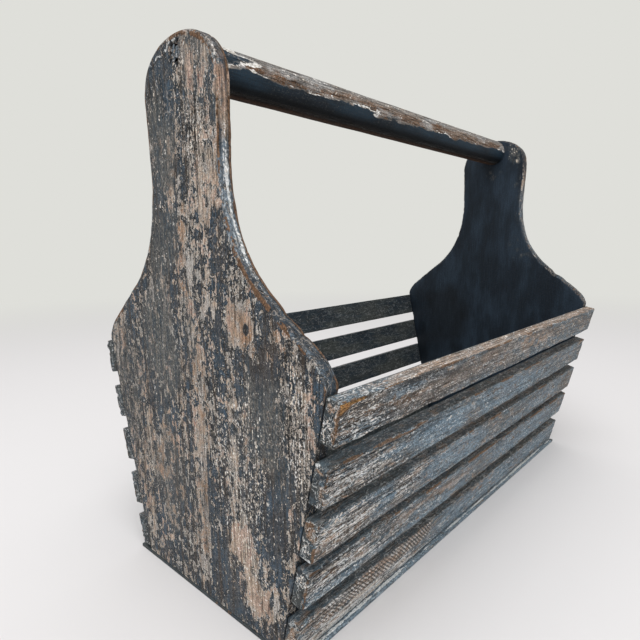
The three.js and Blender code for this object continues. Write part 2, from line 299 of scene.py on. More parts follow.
def board_sheet(face, middle, half, columns, seed, relief, mirrored):
    """Half the thickness of an end board, from the middle of its edges to one face. Rows follow the
    outline; columns go round the left arris, across the face between the two inset outlines, and
    round the right arris. The lowest row is repeated for the arris of the base, where depth is the
    lesser of the two. Relief lowers the face only."""
    along, width, height, inward = board_rows()
    crown_fade = 1 - ramp(along, along[-1] - CALM_CROWN, along[-1])
    rounded = ramp(height, SHOULDER_HEIGHT - 2, SHOULDER_HEIGHT + 10)
    side_points = []
    for side in (1, -1):
        wobble = rough_hills(seed + side, along / 17) * crown_fade
        radius = ARRIS_UNDER_SLATS + (ARRIS_ROUNDED - ARRIS_UNDER_SLATS) * rounded
        radius = np.clip(radius * (1 + ARRIS_WANDER * wobble), *ARRIS_LIMITS)
        nick = np.clip(rough_hills(seed + 7 + side, along / 6, octaves=3) - 0.5, 0, 1)
        nick = NICK_DEPTH * nick * crown_fade
        for on_side, at, reach, deep in EDGE_NOTCHES:
            if on_side == side:
                nick = nick + deep * bell(height - at, reach)
        inset, depth, turn = arris_profile(radius, half)
        inset = inset + nick[:, None]
        across = side * (width[:, None] + inset * inward[0][:, None])
        up = height[:, None] + inset * inward[1][:, None]
        side_points.append((across, up, depth, turn))
    share = np.linspace(0, 1, columns + 2)[1:-1]
    sheets = []
    for left, right in zip(*side_points):
        across = left[:, -1:] * (1 - share) + right[:, -1:] * share
        sheets.append(np.concatenate((left, across, right[:, ::-1]), axis=1))
    base_inset, base_depth, _ = arris_profile(np.array([ARRIS_UNDER_SLATS]), half)
    base = base_depth.shape[1]
    repeats = np.concatenate(([base], np.ones(BOARD_ROWS - 1, dtype=int)))
    y, z, depth, turn = [np.repeat(sheet, repeats, axis=0) for sheet in sheets]
    z[:base] = height[0] + base_inset.T
    depth[:base] = np.minimum(depth[:base], base_depth.T)
    along, width, steep = np.repeat((along, width, np.abs(inward[0])), repeats, axis=1)[..., None]
    lowered = relief(y if mirrored else -y, z) * (depth / half) ** 3
    x = middle + face * (depth - lowered)
    edge_gap = np.minimum((width - np.abs(y)) * steep, z.max() - z)
    return grid_points(x, y, z), turn, np.clip(edge_gap, 0, None), along


# The filler plug's hole, the broken places round it, the crack that starts there, and the glue seam:
# places across the board (towards -Y) and heights
plug_centre, plug_half = node_box("screw_plug_left")
PLUG_CENTRE_Z = plug_centre[2]
PLUG_RADIUS = plug_half[2]
PLUG_CLEARANCE = 0.3
PLUG_RECESS = 2 * plug_half[0] + PLUG_CLEARANCE
PLUG_PITS = (
    (2.6, 349.3, 1.3, 1.7, 1.0), (-2.8, 347.9, 1.2, 1.5, 1.0), (-4.8, 344.3, 1.3, 1.7, 1.0),
    (-5.2, 340.7, 1.4, 1.8, 1.0), (1.6, 337.8, 1.6, 1.4, 1.0),
)
CRACK_ENDS = (-31.0, 1.0)
CRACK_ABOVE_PLUG = 6.1
CRACK_SLOPE = 0.32
SEAM_PLACE = 8.4
SEAM_ENDS = (8.0, 125.0)

# Wear of an end board's outer face, as seen on the near one: ovals across (towards -Y, turned round on
# the far board) and up, their halves, and an amount
NEAR_WEAR = {
    "bare": (
        (20, 338, 16, 20, 0.1), (24, 285, 12, 36, 0.10), (28, 283, 6, 16, 0.10), (27, 262, 12, 8, 0.13),
        (29, 253, 10, 4, -0.18), (0, 95, 9, 95, 0.07), (3, 205, 7, 40, 0.06), (41, 52, 14, 15, 0.22),
        (60, 34, 17, 15, 0.22), (64, 38, 5, 7, -0.24), (35, 100, 28, 50, 0.03), (-38, 80, 23, 46, 0.06),
        (-58, 95, 13, 18, 0.10), (-68, 32, 7, 30, 0.09), (-95, 178, 12, 20, 0.08),
        (46, 193, 13, 13, 0.2), (26, 183, 4, 9, -0.25), (21, 196, 8, 12, 0.1), (12, 145, 7, 40, 0.1),
        (64, 176, 10, 12, -0.2), (68, 176, 12, 14, 0.03), (82, 197, 10, 16, 0.04),
        (104, 70, 3, 60, 0.05), (101, 155, 5, 30, 0.04), (-22, 346, 18, 9, -0.14),
        (-20, 325, 17, 20, -0.26), (15, 238, 28, 24, 0.05), (5, 303, 12, 18, -0.04),
        (-22, 238, 20, 24, -0.06), (75, 80, 8, 34, -0.15), (22, 45, 10, 40, -0.06),
        (90, 140, 9, 45, -0.19), (40, 8, 60, 7, -0.08),
    ),
    "warm": (
        (-40, 236, 14, 18, 0.8), (68, 178, 16, 26, 0.9), (84, 196, 10, 18, 0.9), (-38, 82, 24, 46, 0.6),
        (2, 60, 9, 60, 0.5), (31, 325, 5, 30, 0.15), (13, 347, 24, 10, 0.5), (-3, 225, 6, 40, 0.9),
        (47, 196, 13, 15, 0.4), (10, 145, 8, 42, 0.8),
    ),
    "film": (
        (-38, 172, 22, 44, 0.85), (-19, 295, 16, 32, 0.7), (63, 150, 16, 30, 0.75),
        (-26, 235, 20, 24, 0.6), (-38, 80, 22, 44, 0.4), (-18, 322, 18, 13, 0.2),
        (-85, 140, 20, 45, 0.35), (20, 335, 15, 24, 0.25),
    ),
    "pale": (
        (92, 145, 14, 45, 0.9), (50, 42, 30, 26, 0.3), (14, 303, 18, 18, 0.55), (4, 346, 9, 9, 0.6),
        (-15, 325, 18, 12, 0.15), (45, 105, 32, 55, 0.45),
    ),
    "rub": (
        (92, 194, 34, 30, 0.3), (34, 290, 9, 36, -1.0), (30, 340, 13, 22, 0.6), (-36, 290, 6, 60, 0.3),
    ),
    "rough": (
        (14, 303, 18, 20, 0.9), (90, 150, 16, 45, 0.9), (30, 253, 14, 8, 0.9), (-80, 120, 25, 60, 0.5),
        (0, 352, 30, 6, 0.8), (-15, 325, 18, 16, 0.6),
    ),
}
# The knot below the shoulder sweep: its heart and the bare ring round it
KNOT_HEART = ((52.9, 192.0, 2.6, 3.6, 1.0),)
KNOT_RING = ((51.5, 193.5, 8.5, 9.5, 1.0),)
# Wear of an end board's inner face, as seen on the far one
INNER_WEAR = {
    "film": (
        (2, 316, 11, 6, 1.0), (42, 228, 20, 18, 0.9), (22, 338, 16, 18, 1.0), (32, 300, 6, 40, 0.8),
    ),
    "warm": ((0, 316, 12, 5, 1.0), (42, 228, 22, 18, 1.0)),
    "pale": ((24, 338, 14, 16, 0.5), (30, 300, 8, 50, 0.3), (42, 228, 20, 16, 0.4)),
    # Darker low on the face, towards the back slats
    "grime_and_shade": ((-55, 140, 35, 45, 0.6), (-85, 60, 30, 60, 0.4)),
}


def face_wear(u, z, seed, mirrored):
    """Wear of an end board's outer face. The ovals' places are pushed about by rough hills, longer
    up the grain than across it, so that no outline stays an oval. Left of the glue seam more wood is
    bare than right of it, and the crack over the head is dark with a white upper lip. The plug's hole
    and its pits are painted near black as shade in these recesses, and the knot's heart is dark."""
    across = -u if mirrored else u
    pushed_u = across + 6 * rough_hills(seed, across / 16, z / 40)
    pushed_z = z + 14 * rough_hills(seed + 9, across / 12, z / 40)
    wear = {mark: spots(pushed_u, pushed_z, ovals) for mark, ovals in NEAR_WEAR.items()}
    wear["bare"] += 0.06 * rough_hills(seed + 20, across / 9, z / 70) - 0.035
    wear["film"] += 0.25 * np.clip(rough_hills(seed + 26, across / 20, z / 60), 0, 1)
    wear["rough"] += 0.2
    heart = spots(across, z, KNOT_HEART)
    ring = spots(across, z, KNOT_RING)
    wear["bare"] += 0.25 * ring - 0.9 * heart
    wear["warm"] += 0.3 * ring
    beside = bell(across - SEAM_PLACE, 12) * np.where(across < SEAM_PLACE, 0.12, -0.12)
    wear["bare"] += seam_length(z, 12, 25) * beside
    over_crack, cracked = head_crack(across, z)
    broken = np.clip(0.5 + 0.8 * rough_hills(seed + 28, across / 4, z / 4), 0, 1)
    wear["white_lime_and_highlight"] = 0.9 * cracked * broken * bell(over_crack - 0.9, 0.7)
    pits = np.clip(spots(across, z, PLUG_PITS), 0, 1)
    split = 0.8 * cracked * bell(over_crack + 0.5, 0.6)
    # Painted shade in the plug's hole and its pits, the dark split of the crack, and the knot's dark
    # heart
    shade_and_dirt_spots = (plug_hole(across, z, 0.3), pits, split, 0.4 * heart)
    wear["grime_and_shade"] = np.maximum.reduce(shade_and_dirt_spots)
    return wear


def inner_wear(u, z, seed):
    """Wear of an end board's inner face: smooth dark paint, rubbed in a few places."""
    pushed_u = u + 5 * rough_hills(seed + 70, u / 12, z / 12)
    pushed_z = z + 5 * rough_hills(seed + 75, u / 12, z / 12)
    wear = {mark: spots(pushed_u, pushed_z, ovals) for mark, ovals in INNER_WEAR.items()}
    blobs = ramp(rough_hills(seed + 77, u / 5, z / 6), 0.05, 0.5)
    wear["bare"] = -0.25
    wear["dark"] = 0.97 - 0.6 * np.clip(wear["film"], 0, 1) * blobs
    return wear


# Heights on the boards' edges between which each thing starts and is whole: the end of the sweep, the
# start and the end of the stretch worn by hands, and the start of the crown
SWEEP_END = (214, 240)
HANDS_START = (288, 300)
HANDS_END = (326, 338)
CROWN_START = (326, 342)


def edge_wear(points, along, seed, chalky):
    """Wear of an end board's edges: chalky blue paint with pale and dark streaks along the edge, gone
    where hands pass below the head, and painted shade on the slanting edges behind the slats, which
    show in the gaps between them. Chalky is the share of the pale paint that is still there."""
    x = points[..., 0]
    z = points[..., 2]
    above = above_shoulder(z)
    handled = between(z, HANDS_START, HANDS_END)
    sweep = 1 - ramp(z, *SWEEP_END)
    crown = ramp(z, *CROWN_START)
    streak = rough_hills(seed + 300, x / 3 + np.sign(points[..., 1]) * 5, along / 45)
    painted = chalky * above * (1 - handled)
    return {
        "bare": -0.1 + chalky * (0.3 * handled + 0.22 * crown),
        "warm": 0.35 + 0.15 * handled,
        "chalk": painted * (0.95 - 0.6 * sweep - 0.55 * crown),
        "pale": above * (0.25 - 0.2 * sweep),
        "white_lime_and_highlight": painted * (1 - 0.5 * sweep - 0.6 * crown) * np.clip(1.6 * streak - 0.3, 0, 0.75),
        "rough": (0.3 + 0.5 * sweep + 0.5 * crown) * above,
        "dark": above * np.clip(0.45 * sweep + 0.25 * crown - 0.3 - 1.3 * streak, 0, 0.7),
        # Painted shade on the edges below the shoulders, seen between the slats
        "grime_and_shade": 0.3 * (1 - above),
    }


def outer_relief(u, z):
    """How far the outer face lies below the flat: shallow hollows along the grain, the glue seam near
    the middle, the crack over the head, and the recess of the filler plug with its broken rim."""
    hollow = 0.16 + 0.09 * rough_hills(31, u / 13, z / 55) + 0.04 * rough_hills(35, u / 2.4, z / 40)
    seam = 0.35 * bell(u - SEAM_PLACE, 0.8) * seam_length(z, 6, 15)
    over_crack, cracked = head_crack(u, z)
    split = 0.4 * cracked * bell(over_crack, 0.8)
    recess = np.maximum(PLUG_RECESS * plug_hole(u, z, PLUG_TAPER), 1.2 * spots(u, z, PLUG_PITS))
    return np.clip(hollow, 0, 1) + seam + split + recess


def seam_length(z, start, fade):
    """1 along the glue seam and 0 past its ends, eased over a start below and a fade above."""
    foot, top = SEAM_ENDS
    return between(z, (foot, foot + start), (top, top + fade))


def plug_hole(u, z, taper):
    """1 inside the hole of the filler plug and 0 outside it, eased over the taper at its rim."""
    return 1 - ramp(np.hypot(u, z - PLUG_CENTRE_Z), PLUG_RADIUS - taper, PLUG_RADIUS)


def head_crack(u, z):
    """The crack that runs jagged from the plug to the left of the head: height above it, and 1 along
    its length and 0 past its ends."""
    left, right = CRACK_ENDS
    line = PLUG_CENTRE_Z + CRACK_ABOVE_PLUG + CRACK_SLOPE * u + 1.3 * rough_hills(61, u / 3.5)
    return z - line, between(u, (left, left + 4), (right, right + 3))


def inner_relief(u, z):
    """Shallow hollows along the grain of the inner face."""
    return np.clip(0.12 + 0.07 * rough_hills(41, u / 15, z / 60), 0, 1)


def end_board(node_name, face, seed, mirrored, chalky):
    """An end board from its two sheets, which meet along the middle of the edges. Face is the side of
    the outer face along X. The arrises are rubbed to raw wood in patches, and on the inner sheet a
    dirty line parts the paint of the edge from its rubbed rear arris."""
    (middle, *_), (half, *_) = node_box(node_name)
    grids = []
    for outer in (True, False):
        way = face if outer else -face
        columns = BOARD_OUTER_COLUMNS if outer else BOARD_INNER_COLUMNS
        relief = outer_relief if outer else inner_relief
        turned = mirrored and outer
        points, turn, edge_gap, along = board_sheet(way, middle, half, columns, seed, relief, turned)
        u = -points[..., 1]
        z = points[..., 2]
        on_face = ramp(turn, 0.6, 1.0)
        above = above_shoulder(z)
        wear = face_wear(u, z, seed, mirrored) if outer else inner_wear(u, z, seed)
        wear = mixed(edge_wear(points, along, seed, chalky), {"rub": 0.0, **wear}, on_face)
        arris = np.clip(np.sin(turn * math.pi) + on_face * bell(edge_gap, 2.6), 0, 1)
        patchy = 0.5 + 0.6 * rough_hills(seed + 50, u / 18, z / 18)
        wear["rub"] = arris * np.clip(patchy + wear["rub"], 0, 1.1) * (0.3 + 0.7 * above)
        if not outer:
            gap = half - np.abs(points[..., 0] - middle) + 0.5 * rough_hills(seed + 54, along / 9)
            on_edge = (1 - on_face) * above
            rear = (1 - ramp(gap, REAR_ARRIS - 0.6, REAR_ARRIS)) * on_edge
            line = bell(gap - REAR_ARRIS, 0.45) * on_edge
            rubbed = np.maximum(wear["rub"], rear * np.clip(patchy + 0.6, 0, 1.1))
            wear["rub"] = 0.95 * chalky * rubbed
            wear["grime_and_shade"] = np.maximum(wear["grime_and_shade"], 0.75 * chalky * line)
            wear["white_lime_and_highlight"] *= 1 - rear
        grids.append({"points": points, **wear})
    make_piece(node_name, grids, board_finish)


# Slats and floor panel


def bar_section(half_out, half_up, radii, side_columns):
    """Rounded rectangle round a bar, one for each station: four quarter arcs joined by straight
    sides, from the lower outer arris up the outside, over the top, down the inside and back under.
    Gives out, up, and the outward normal of each column."""
    turn = np.linspace(0, math.pi / 2, ARC_STEPS)
    corners = ((1, -1), (1, 1), (-1, 1), (-1, -1))
    outs = []
    ups = []
    normals = []
    arcs = []
    for k, (side_out, side_up) in enumerate(corners):
        angle = turn + (k - 1) * math.pi / 2
        radius = radii[k][:, None]
        arc_out = side_out * (half_out - radius) + radius * np.cos(angle)
        arc_up = side_up * (half_up - radius) + radius * np.sin(angle)
        arcs.append((arc_out, arc_up, angle))
    for k, count in enumerate(side_columns):
        arc_out, arc_up, angle = arcs[k]
        next_out, next_up, _ = arcs[(k + 1) % 4]
        share = np.linspace(0, 1, count + 2)[1:-1]
        outs += [arc_out, arc_out[:, -1:] * (1 - share) + next_out[:, :1] * share]
        ups += [arc_up, arc_up[:, -1:] * (1 - share) + next_up[:, :1] * share]
        normals += [angle, np.full(count, angle[-1])]
    angle = np.concatenate(normals)
    return np.concatenate(outs, axis=1), np.concatenate(ups, axis=1), np.cos(angle), np.sin(angle)


def bar_surface(half, steps, arris, side_columns, seed, relief, tear):
    """A bar of half sizes along, out and up: its rounded section carried along X, with the ends rounded
    over and then drawn in to the section's middle line, where the rings close. Each arris radius
    wanders along the bar. Relief lowers the surface along its normal, and tear draws the ends back
    unevenly on the outside."""
    half_length, half_out, half_up = half
    turn = np.linspace(0, math.pi / 2, END_ARC_STEPS)
    rounding = arris * END_ARRIS_SHARE
    close = np.linspace(1, 0, SLAT_END_RINGS)[:-1]
    end_draw = np.concatenate((rounding + (half_out - rounding) * close, rounding * (1 - np.sin(turn))))
    end_x = np.concatenate((0 * close, rounding * (1 - np.cos(turn))))
    body_x = steps[np.abs(steps) < half_length - rounding - 0.4]
    x = np.concatenate((-half_length + end_x, body_x, half_length - end_x[::-1]))
    draw = np.concatenate((end_draw, 0 * body_x, end_draw[::-1]))
    radii = []
    for k, share in enumerate(ARRIS_SHARES):
        wander = 1 + 0.45 * rough_hills(seed + k, x / 13)
        radii.append(np.clip(arris * share * wander, 0.25, 0.45 * half_out))
    out, up, normal_out, normal_up = bar_section(half_out, half_up, radii, side_columns)
    line_up = np.clip(up, -(half_up - half_out), half_up - half_out)
    pull = (draw / half_out)[:, None]
    out = out * (1 - pull)
    up = up + (line_up - up) * pull
    whole = np.broadcast_to(x[:, None], out.shape)
    lowered = relief(whole, out, up) * (1 - ramp(pull, 0, 0.3))
    ragged = 0.1 + tear * np.clip(rough_hills(seed + 30, np.sign(whole), out / 3, up / 4) + 0.1, 0, 1)
    ragged = ragged * ramp(out, -half_out, half_out) * (1 - ramp(half_length - np.abs(whole), 0, 6))
    return whole - np.sign(whole) * ragged, out - lowered * normal_out, up - lowered * normal_up


# Wear of the slats' outer faces, by the number of a front slat: ovals along X and up the slat, their
# halves, and an amount
FRONT_WEAR = {
    1: {
        "bare": ((-190, 2, 40, 9, 0.05), (-140, -8, 80, 5, 0.1), (40, 0, 120, 9, 0.05)),
        "pale": ((-140, -7, 80, 6, 1.4), (60, 0, 150, 10, 0.8)),
        "chalk": ((-150, -9, 70, 4, 0.35), (60, 0, 150, 12, 0.6)),
        # White along the lower arris near the end: painted highlight
        "white_lime_and_highlight": ((-150, -12.3, 100, 2.6, 0.9),),
        "warm": ((-64, 0, 9, 9, 0.5),),
    },
    2: {
        "bare": (
            (-65, 2.8, 66, 4.5, 0.18), (-177, 2.5, 11, 2.5, 0.25), (-190, -6, 32, 6, -0.1),
            (-205, 4, 10, 4, 0.12),
        ),
        "pale": ((-166, -2, 24, 2.5, 0.9), (-190, 3, 30, 8, 0.65), (-120, -4, 60, 6, 0.5)),
        "chalk": ((-192, -7, 30, 6, 0.95), (-100, -8, 80, 5, 0.7), (100, 0, 120, 12, 0.5)),
        "warm": ((-177, 2.5, 14, 4, 0.5), (-207, 4, 8, 4, 0.5)),
        "rub": ((-209, 4.5, 4, 2, 1.0),),
    },
    3: {
        "bare": ((-194, 0, 26, 11, 0.08), (-160, 0, 16, 12, -0.12), (-128, 0, 20, 10, 0.07)),
        "pale": ((-194, 1, 26, 11, 0.85), (-128, 2, 22, 9, 0.8), (-214, -11, 6, 3, 1.2)),
        "chalk": ((-160, 0, 16, 12, 0.9), (-190, 9, 30, 4, 0.6), (-60, 0, 60, 12, 0.6)),
        "white_lime_and_highlight": ((-216, -11.6, 4, 1.4, 1.0),),
        "rub": ((-165, -12, 45, 2, 0.7),),
    },
    4: {
        "bare": ((-188, -2, 32, 10, 0.04), (-105, 0, 48, 11, -0.12)),
        "pale": ((-190, -1, 30, 10, 0.6), (-60, 0, 80, 10, 0.25)),
        "chalk": ((-185, 5, 30, 5, 0.5), (-105, 0, 50, 12, 0.9), (20, 0, 80, 12, 0.6)),
        # White spot at the near upper corner: painted glint
        "white_lime_and_highlight": ((-216, 12, 2.5, 1.2, 1.0),),
        "rub": ((-150, 12.4, 62, 1.3, 0.85),),
    },
    5: {
        "bare": (
            (-195, 2, 24, 3, 0.12), (-145, -1, 27, 3, 0.14), (-75, 8, 12, 5, 0.1), (10, 2, 90, 8, 0.08),
        ),
        "pale": ((-200, 0, 20, 11, 0.4), (-75, 8, 12, 5, 0.4), (40, 2, 100, 9, 0.3)),
        "chalk": ((-188, -3, 20, 5, 0.4), (-160, 6, 20, 4, 0.5)),
        "film": ((-110, 0, 110, 12, 0.6),),
        "warm": ((-160, 0, 70, 12, 0.5),),
        "rub": ((-140, 12.4, 66, 1.5, 0.85),),
    },
}
# The fresh break at the near upper corner of the highest front slat
CORNER_BREAK = ((-219, 10.5, 10, 5, 1.0), (-206, 12.2, 12, 2, 1.0))
# Wear of the slats' near ends in the same way: ovals outwards and up the slat
NEAR_END_WEAR = {
    1: {"bare": ((1, 0, 5, 9, 0.35), (3, 4, 2, 6, 0.2))},
    2: {
        "bare": ((4.2, -2, 1.2, 9, 0.4),),
        "rub": ((4.6, -6, 1.0, 5, 1.0),),
        "pale": ((0, 6, 5, 6, 1.6),),
    },
    3: {
        "bare": ((0, 7, 5, 6, 0.4),),
        "rub": ((-1, 9, 4, 3, 0.8), (4.2, -4, 1.0, 8, 0.8)),
        "pale": ((0, -4, 5, 5, 1.5),),
        "white_lime_and_highlight": ((1.5, -12.2, 6, 1.4, 1.0),),
    },
    4: {
        "bare": ((2.8, -3, 2.6, 5, 0.7), (-1, 8, 3, 2, 0.35)),
        "rub": ((4.6, 2, 0.9, 9, 0.9),),
        "pale": ((2, -10, 3, 2, 1.5),),
        # White spot at the top of the end: painted glint
        "white_lime_and_highlight": ((-3, 11.5, 1.6, 1.3, 1.0),),
    },
    5: {
        "bare": ((3.8, 0, 1.6, 11, 0.45), (0, 9, 3, 2.5, 0.4)),
        "rub": ((4.5, 1, 1.0, 12, 1.1),),
        "pale": ((-1, -3, 4, 9, 1.5),),
    },
}


def ripple(x, up):
    """Saw ripple: a sine wave that slants over the upper half of the slat, 1 in its valleys, and the
    share of the slat that it covers."""
    wander = 0.22 * rough_hills(71, x / 11, up / 7)
    wave = np.sin(2 * math.pi * (RIPPLE_ALONG * x + RIPPLE_UP * up + wander))
    reach = between(x, (RIPPLE_FROM, RIPPLE_FROM + 12), (RIPPLE_TO - 14, RIPPLE_TO))
    return wave, reach * ramp(up, -3, 1)


def grain_crack(x, out, up, wide, half_out, number, seed):
    """Long cracks in a slat's outer face: 1 on the lines where slow hills pass through zero, in the
    places where a second field of hills is high. The lowest slats have hardly any."""
    line = rough_hills(seed + 67, x / 75, up / 4, octaves=3)
    opened = ramp(hills(seed + 69, x / 30, up / 5), -0.3, 0.2) * (0.2 if number == 1 else 1.0)
    return bell(line, wide) * opened * ramp(out, 0.6 * half_out, 0.9 * half_out)


# Places along a slat between which its near wear fades to the far wear and its near end starts
NEAR_FADE = (-190, -40)
NEAR_END = (-150, -200)
# Distances from a slat's faces over which the wear of one gives way to the next: its sides, its ends
SIDE_BLEND = (0.3, 1.2)
END_BLEND = (0.2, 1.0)
UNDER_WEAR = {"dark": 0.8, "rough": 0.5, "grime_and_shade": 0.3}
INSIDE_WEAR = {"bare": -0.1, "dark": 0.92, "rough": 0.2}


def slat_face_wear(x, out, up, turned, like, half_out, number, way, seed):
    """Wear of a slat's outer face: ovals pushed about by rough hills, over a slow drift between chalky
    paint and thin film, palest and roughest at the near end. Cracks hold dirt between pale lips, and
    the ripple has dark paint in its valleys and bare crests."""
    push_x = 14 * rough_hills(seed + 90, x / 40, up / 6)
    push_up = 2.5 * rough_hills(seed + 95, x / 40, up / 6)
    drift = rough_hills(seed + 85, x / 50, up / 8)
    nearness = 1 - ramp(turned, *NEAR_FADE)
    crack = grain_crack(x, out, up, 0.3, half_out, number, seed)
    lips = grain_crack(x, out, up, 0.8, half_out, number, seed) - crack
    wear = dict.fromkeys(("bare", "pale", "chalk", "film", "warm", "rub"), 0.0)
    for mark, ovals in FRONT_WEAR[like].items():
        wear[mark] = spots(turned + push_x, up + push_up, ovals)
    wear["bare"] -= 0.03
    wear["pale"] = wear["pale"] * (0.3 + 0.7 * nearness) + nearness * (0.15 + 0.6 * lips)
    far_chalk = 0.0 if number == SLATS_A_SIDE else 0.25
    wear["chalk"] = np.clip(wear["chalk"] + 0.3 * drift + far_chalk * (1 - nearness), 0, 1)
    film = 0.0 if number == 1 else 0.8
    wear["film"] += film * np.clip(-0.6 * drift, 0, 0.6)
    wear["warm"] += 0.5
    wear["rough"] = 0.2 + 0.4 * nearness + 0.4 * ramp(turned, *NEAR_END) + 0.3 * drift
    wear["grime_and_shade"] = 0.85 * crack * (0.35 + 0.65 * nearness)
    if way < 0 and number == 1:
        wave, reach = ripple(x, up)
        wear["chalk"] *= 1 - reach
        wear["bare"] += 0.15 * reach
        wear["pale"] += reach * (0.3 - 0.4 * wave)
        wear["dark"] = reach * np.clip(1.8 * wave - 0.7, 0, 0.9)
    if way < 0 and number == SLATS_A_SIDE:
        broken = np.clip(spots(turned, up, CORNER_BREAK), 0, 1)
        wear["rub"] = np.maximum(wear["rub"], 1.2 * broken)
        wear["warm"] += 1.3 * broken
    return wear


def slat_top_wear(turned, number):
    """Wear of a slat's top: bare on the highest slat, where it is handled, and darker paint in the
    gaps between the others."""
    near_end = ramp(turned, *NEAR_END)
    wear = {"pale": 0.2, "film": 0.3 * (1 - near_end), "rough": 0.35, "warm": 0.6}
    if number == SLATS_A_SIDE:
        return {**wear, "bare": 0.24 - 0.26 * near_end, "chalk": 0.05 + 0.25 * near_end}
    return {**wear, "dark": 0.45, "chalk": 0.05 + 0.35 * (1 - ramp(turned, *NEAR_FADE))}


def slat_end_wear(out, up, turned, like, seed):
    """Wear of a slat's ends: dark paint on sawn wood with scuffs, and ovals of bare wood at the near
    end, pushed about by rough hills."""
    pushed_out = out + 1.0 * rough_hills(seed + 86, out / 2.5, up / 3.5)
    pushed_up = up + 2.0 * rough_hills(seed + 88, out / 2.5, up / 3.5)
    wear = dict.fromkeys(("rub", "pale"), 0.0)
    for mark, ovals in NEAR_END_WEAR[like].items():
        wear[mark] = np.where(turned < 0, spots(pushed_out, pushed_up, ovals), 0.0)
    scuffs = np.clip(rough_hills(seed + 84, up / 5, out / 4), 0, 0.35)
    wear["rub"] = np.maximum(wear["rub"], scuffs)
    wear["pale"] += 0.2
    wear["bare"] -= 0.12
    wear["dark"] = 0.7 * (1 - ramp(wear["bare"], -0.1, 0.1))
    return {**wear, "warm": 0.6, "rough": 0.8}


def slat_wear(x, out, up, half, number, way, seed):
    """Wear all round a slat: its outer face, then its top, underside, inside and ends, each taking over
    just under its arris, and raw wood in patches along the outer arrises. The back slats are worn like
    the front ones, end for end and in the opposite order."""
    half_length, half_out, half_up = half
    turned = -way * x
    like = number if way < 0 else SLATS_A_SIDE + 1 - number
    gap_out = half_out - out
    gap_top = half_up - up
    gap_under = half_up + up
    gap_end = half_length - np.abs(x)
    behind = ramp(gap_out, *SIDE_BLEND)
    wear = slat_face_wear(x, out, up, turned, like, half_out, number, way, seed)
    wear = mixed(wear, slat_top_wear(turned, number), (1 - ramp(gap_top, *SIDE_BLEND)) * behind)
    wear = mixed(wear, UNDER_WEAR, (1 - ramp(gap_under, *SIDE_BLEND)) * behind)
    wear = mixed(wear, INSIDE_WEAR, 1 - ramp(half_out + out, *SIDE_BLEND))
    wear = mixed(wear, slat_end_wear(out, up, turned, like, seed), 1 - ramp(gap_end, *END_BLEND))
    patchy = np.clip(0.4 + 0.9 * rough_hills(seed + 80, x / 22), 0, 1.1)
    ragged = 0.6 + 0.5 * rough_hills(seed + 82, up / 4, out / 3)
    top_arris = bell(np.hypot(gap_out, gap_top), 1.7) * patchy * (0.5 if number == 1 else 1.0)
    under_arris = bell(np.hypot(gap_out, gap_under), 1.5) * patchy * 0.6
    end_arris = bell(np.hypot(gap_out, gap_end), 2.0) * ragged
    arris = np.maximum.reduce((top_arris, under_arris, end_arris))
    wear["rub"] = np.clip(np.maximum(wear["rub"], arris * ramp(out, -half_out, half_out)), 0, 1.3)
    return wear


def slat(node_name, number, way, seed):
    """One side slat, a bar that leans with its side. Way is -1 on the front side and 1 on the back. Its
    box is out cos(lean) + up sin(lean) wide and up cos(lean) + out sin(lean) high; solved for out and
    up, this gives the slat's own half sizes."""
    centre, (half_length, box_out, box_up) = node_box(node_name)
    lean_sin = math.sin(SIDE_LEAN)
    lean_cos = math.cos(SIDE_LEAN)
    scale = lean_cos**2 - lean_sin**2
    half_out = (box_out * lean_cos - box_up * lean_sin) / scale
    half_up = (box_up * lean_cos - box_out * lean_sin) / scale
    half = (half_length, half_out, half_up)
    rippled = way < 0 and number == 1
    steps = np.arange(-half_length, half_length, SLAT_STEP)
    if rippled:
        plain = steps[(steps < RIPPLE_FROM - 1) | (steps > RIPPLE_TO + 1)]
        fine = np.arange(RIPPLE_FROM, RIPPLE_TO, SLAT_RIPPLE_STEP)
        steps = np.sort(np.concatenate((plain, fine)))

    def relief(x, out, up):
        """Hollows and cracks along the grain, and the slanting saw ripple of the lowest front slat."""
        lowered = 0.14 + 0.1 * rough_hills(seed + 60, x / 60, up / 5, out / 5)
        lowered = np.clip(lowered + 0.05 * rough_hills(seed + 66, x / 14, up / 1.3, out / 2), 0, 1)
        lowered = lowered + 0.5 * grain_crack(x, out, up, 0.3, half_out, number, seed)
        if rippled:
            wave, reach = ripple(x, up)
            outside = ramp(out, 0.6 * half_out, 0.9 * half_out)
            lowered = lowered + RIPPLE_DEPTH * outside * reach * (0.5 + 0.5 * wave)
        return lowered

    x, out, up = bar_surface(half, steps, SLAT_ARRIS, SLAT_SIDE_COLUMNS, seed, relief, SLAT_TEAR)
    y = centre[1] + way * (out * lean_cos + up * lean_sin)
    z = centre[2] - out * lean_sin + up * lean_cos
    wear = slat_wear(x, out, up, half, number, way, seed)
    grid = {"points": grid_points(centre[0] + x, y, z), "closed": True, **wear}
    make_piece(node_name, [grid], slat_finish)


# Distances from the floor panel's long edges: where the strip that stands proud of the slats fades, and
# the place and width of the white line of painted highlight at the lowest slat's foot
LEDGE_FADE = (4.0, 7.0)
FOOT_HIGHLIGHT_PLACE = 2.6
FOOT_HIGHLIGHT_WIDTH = 0.5


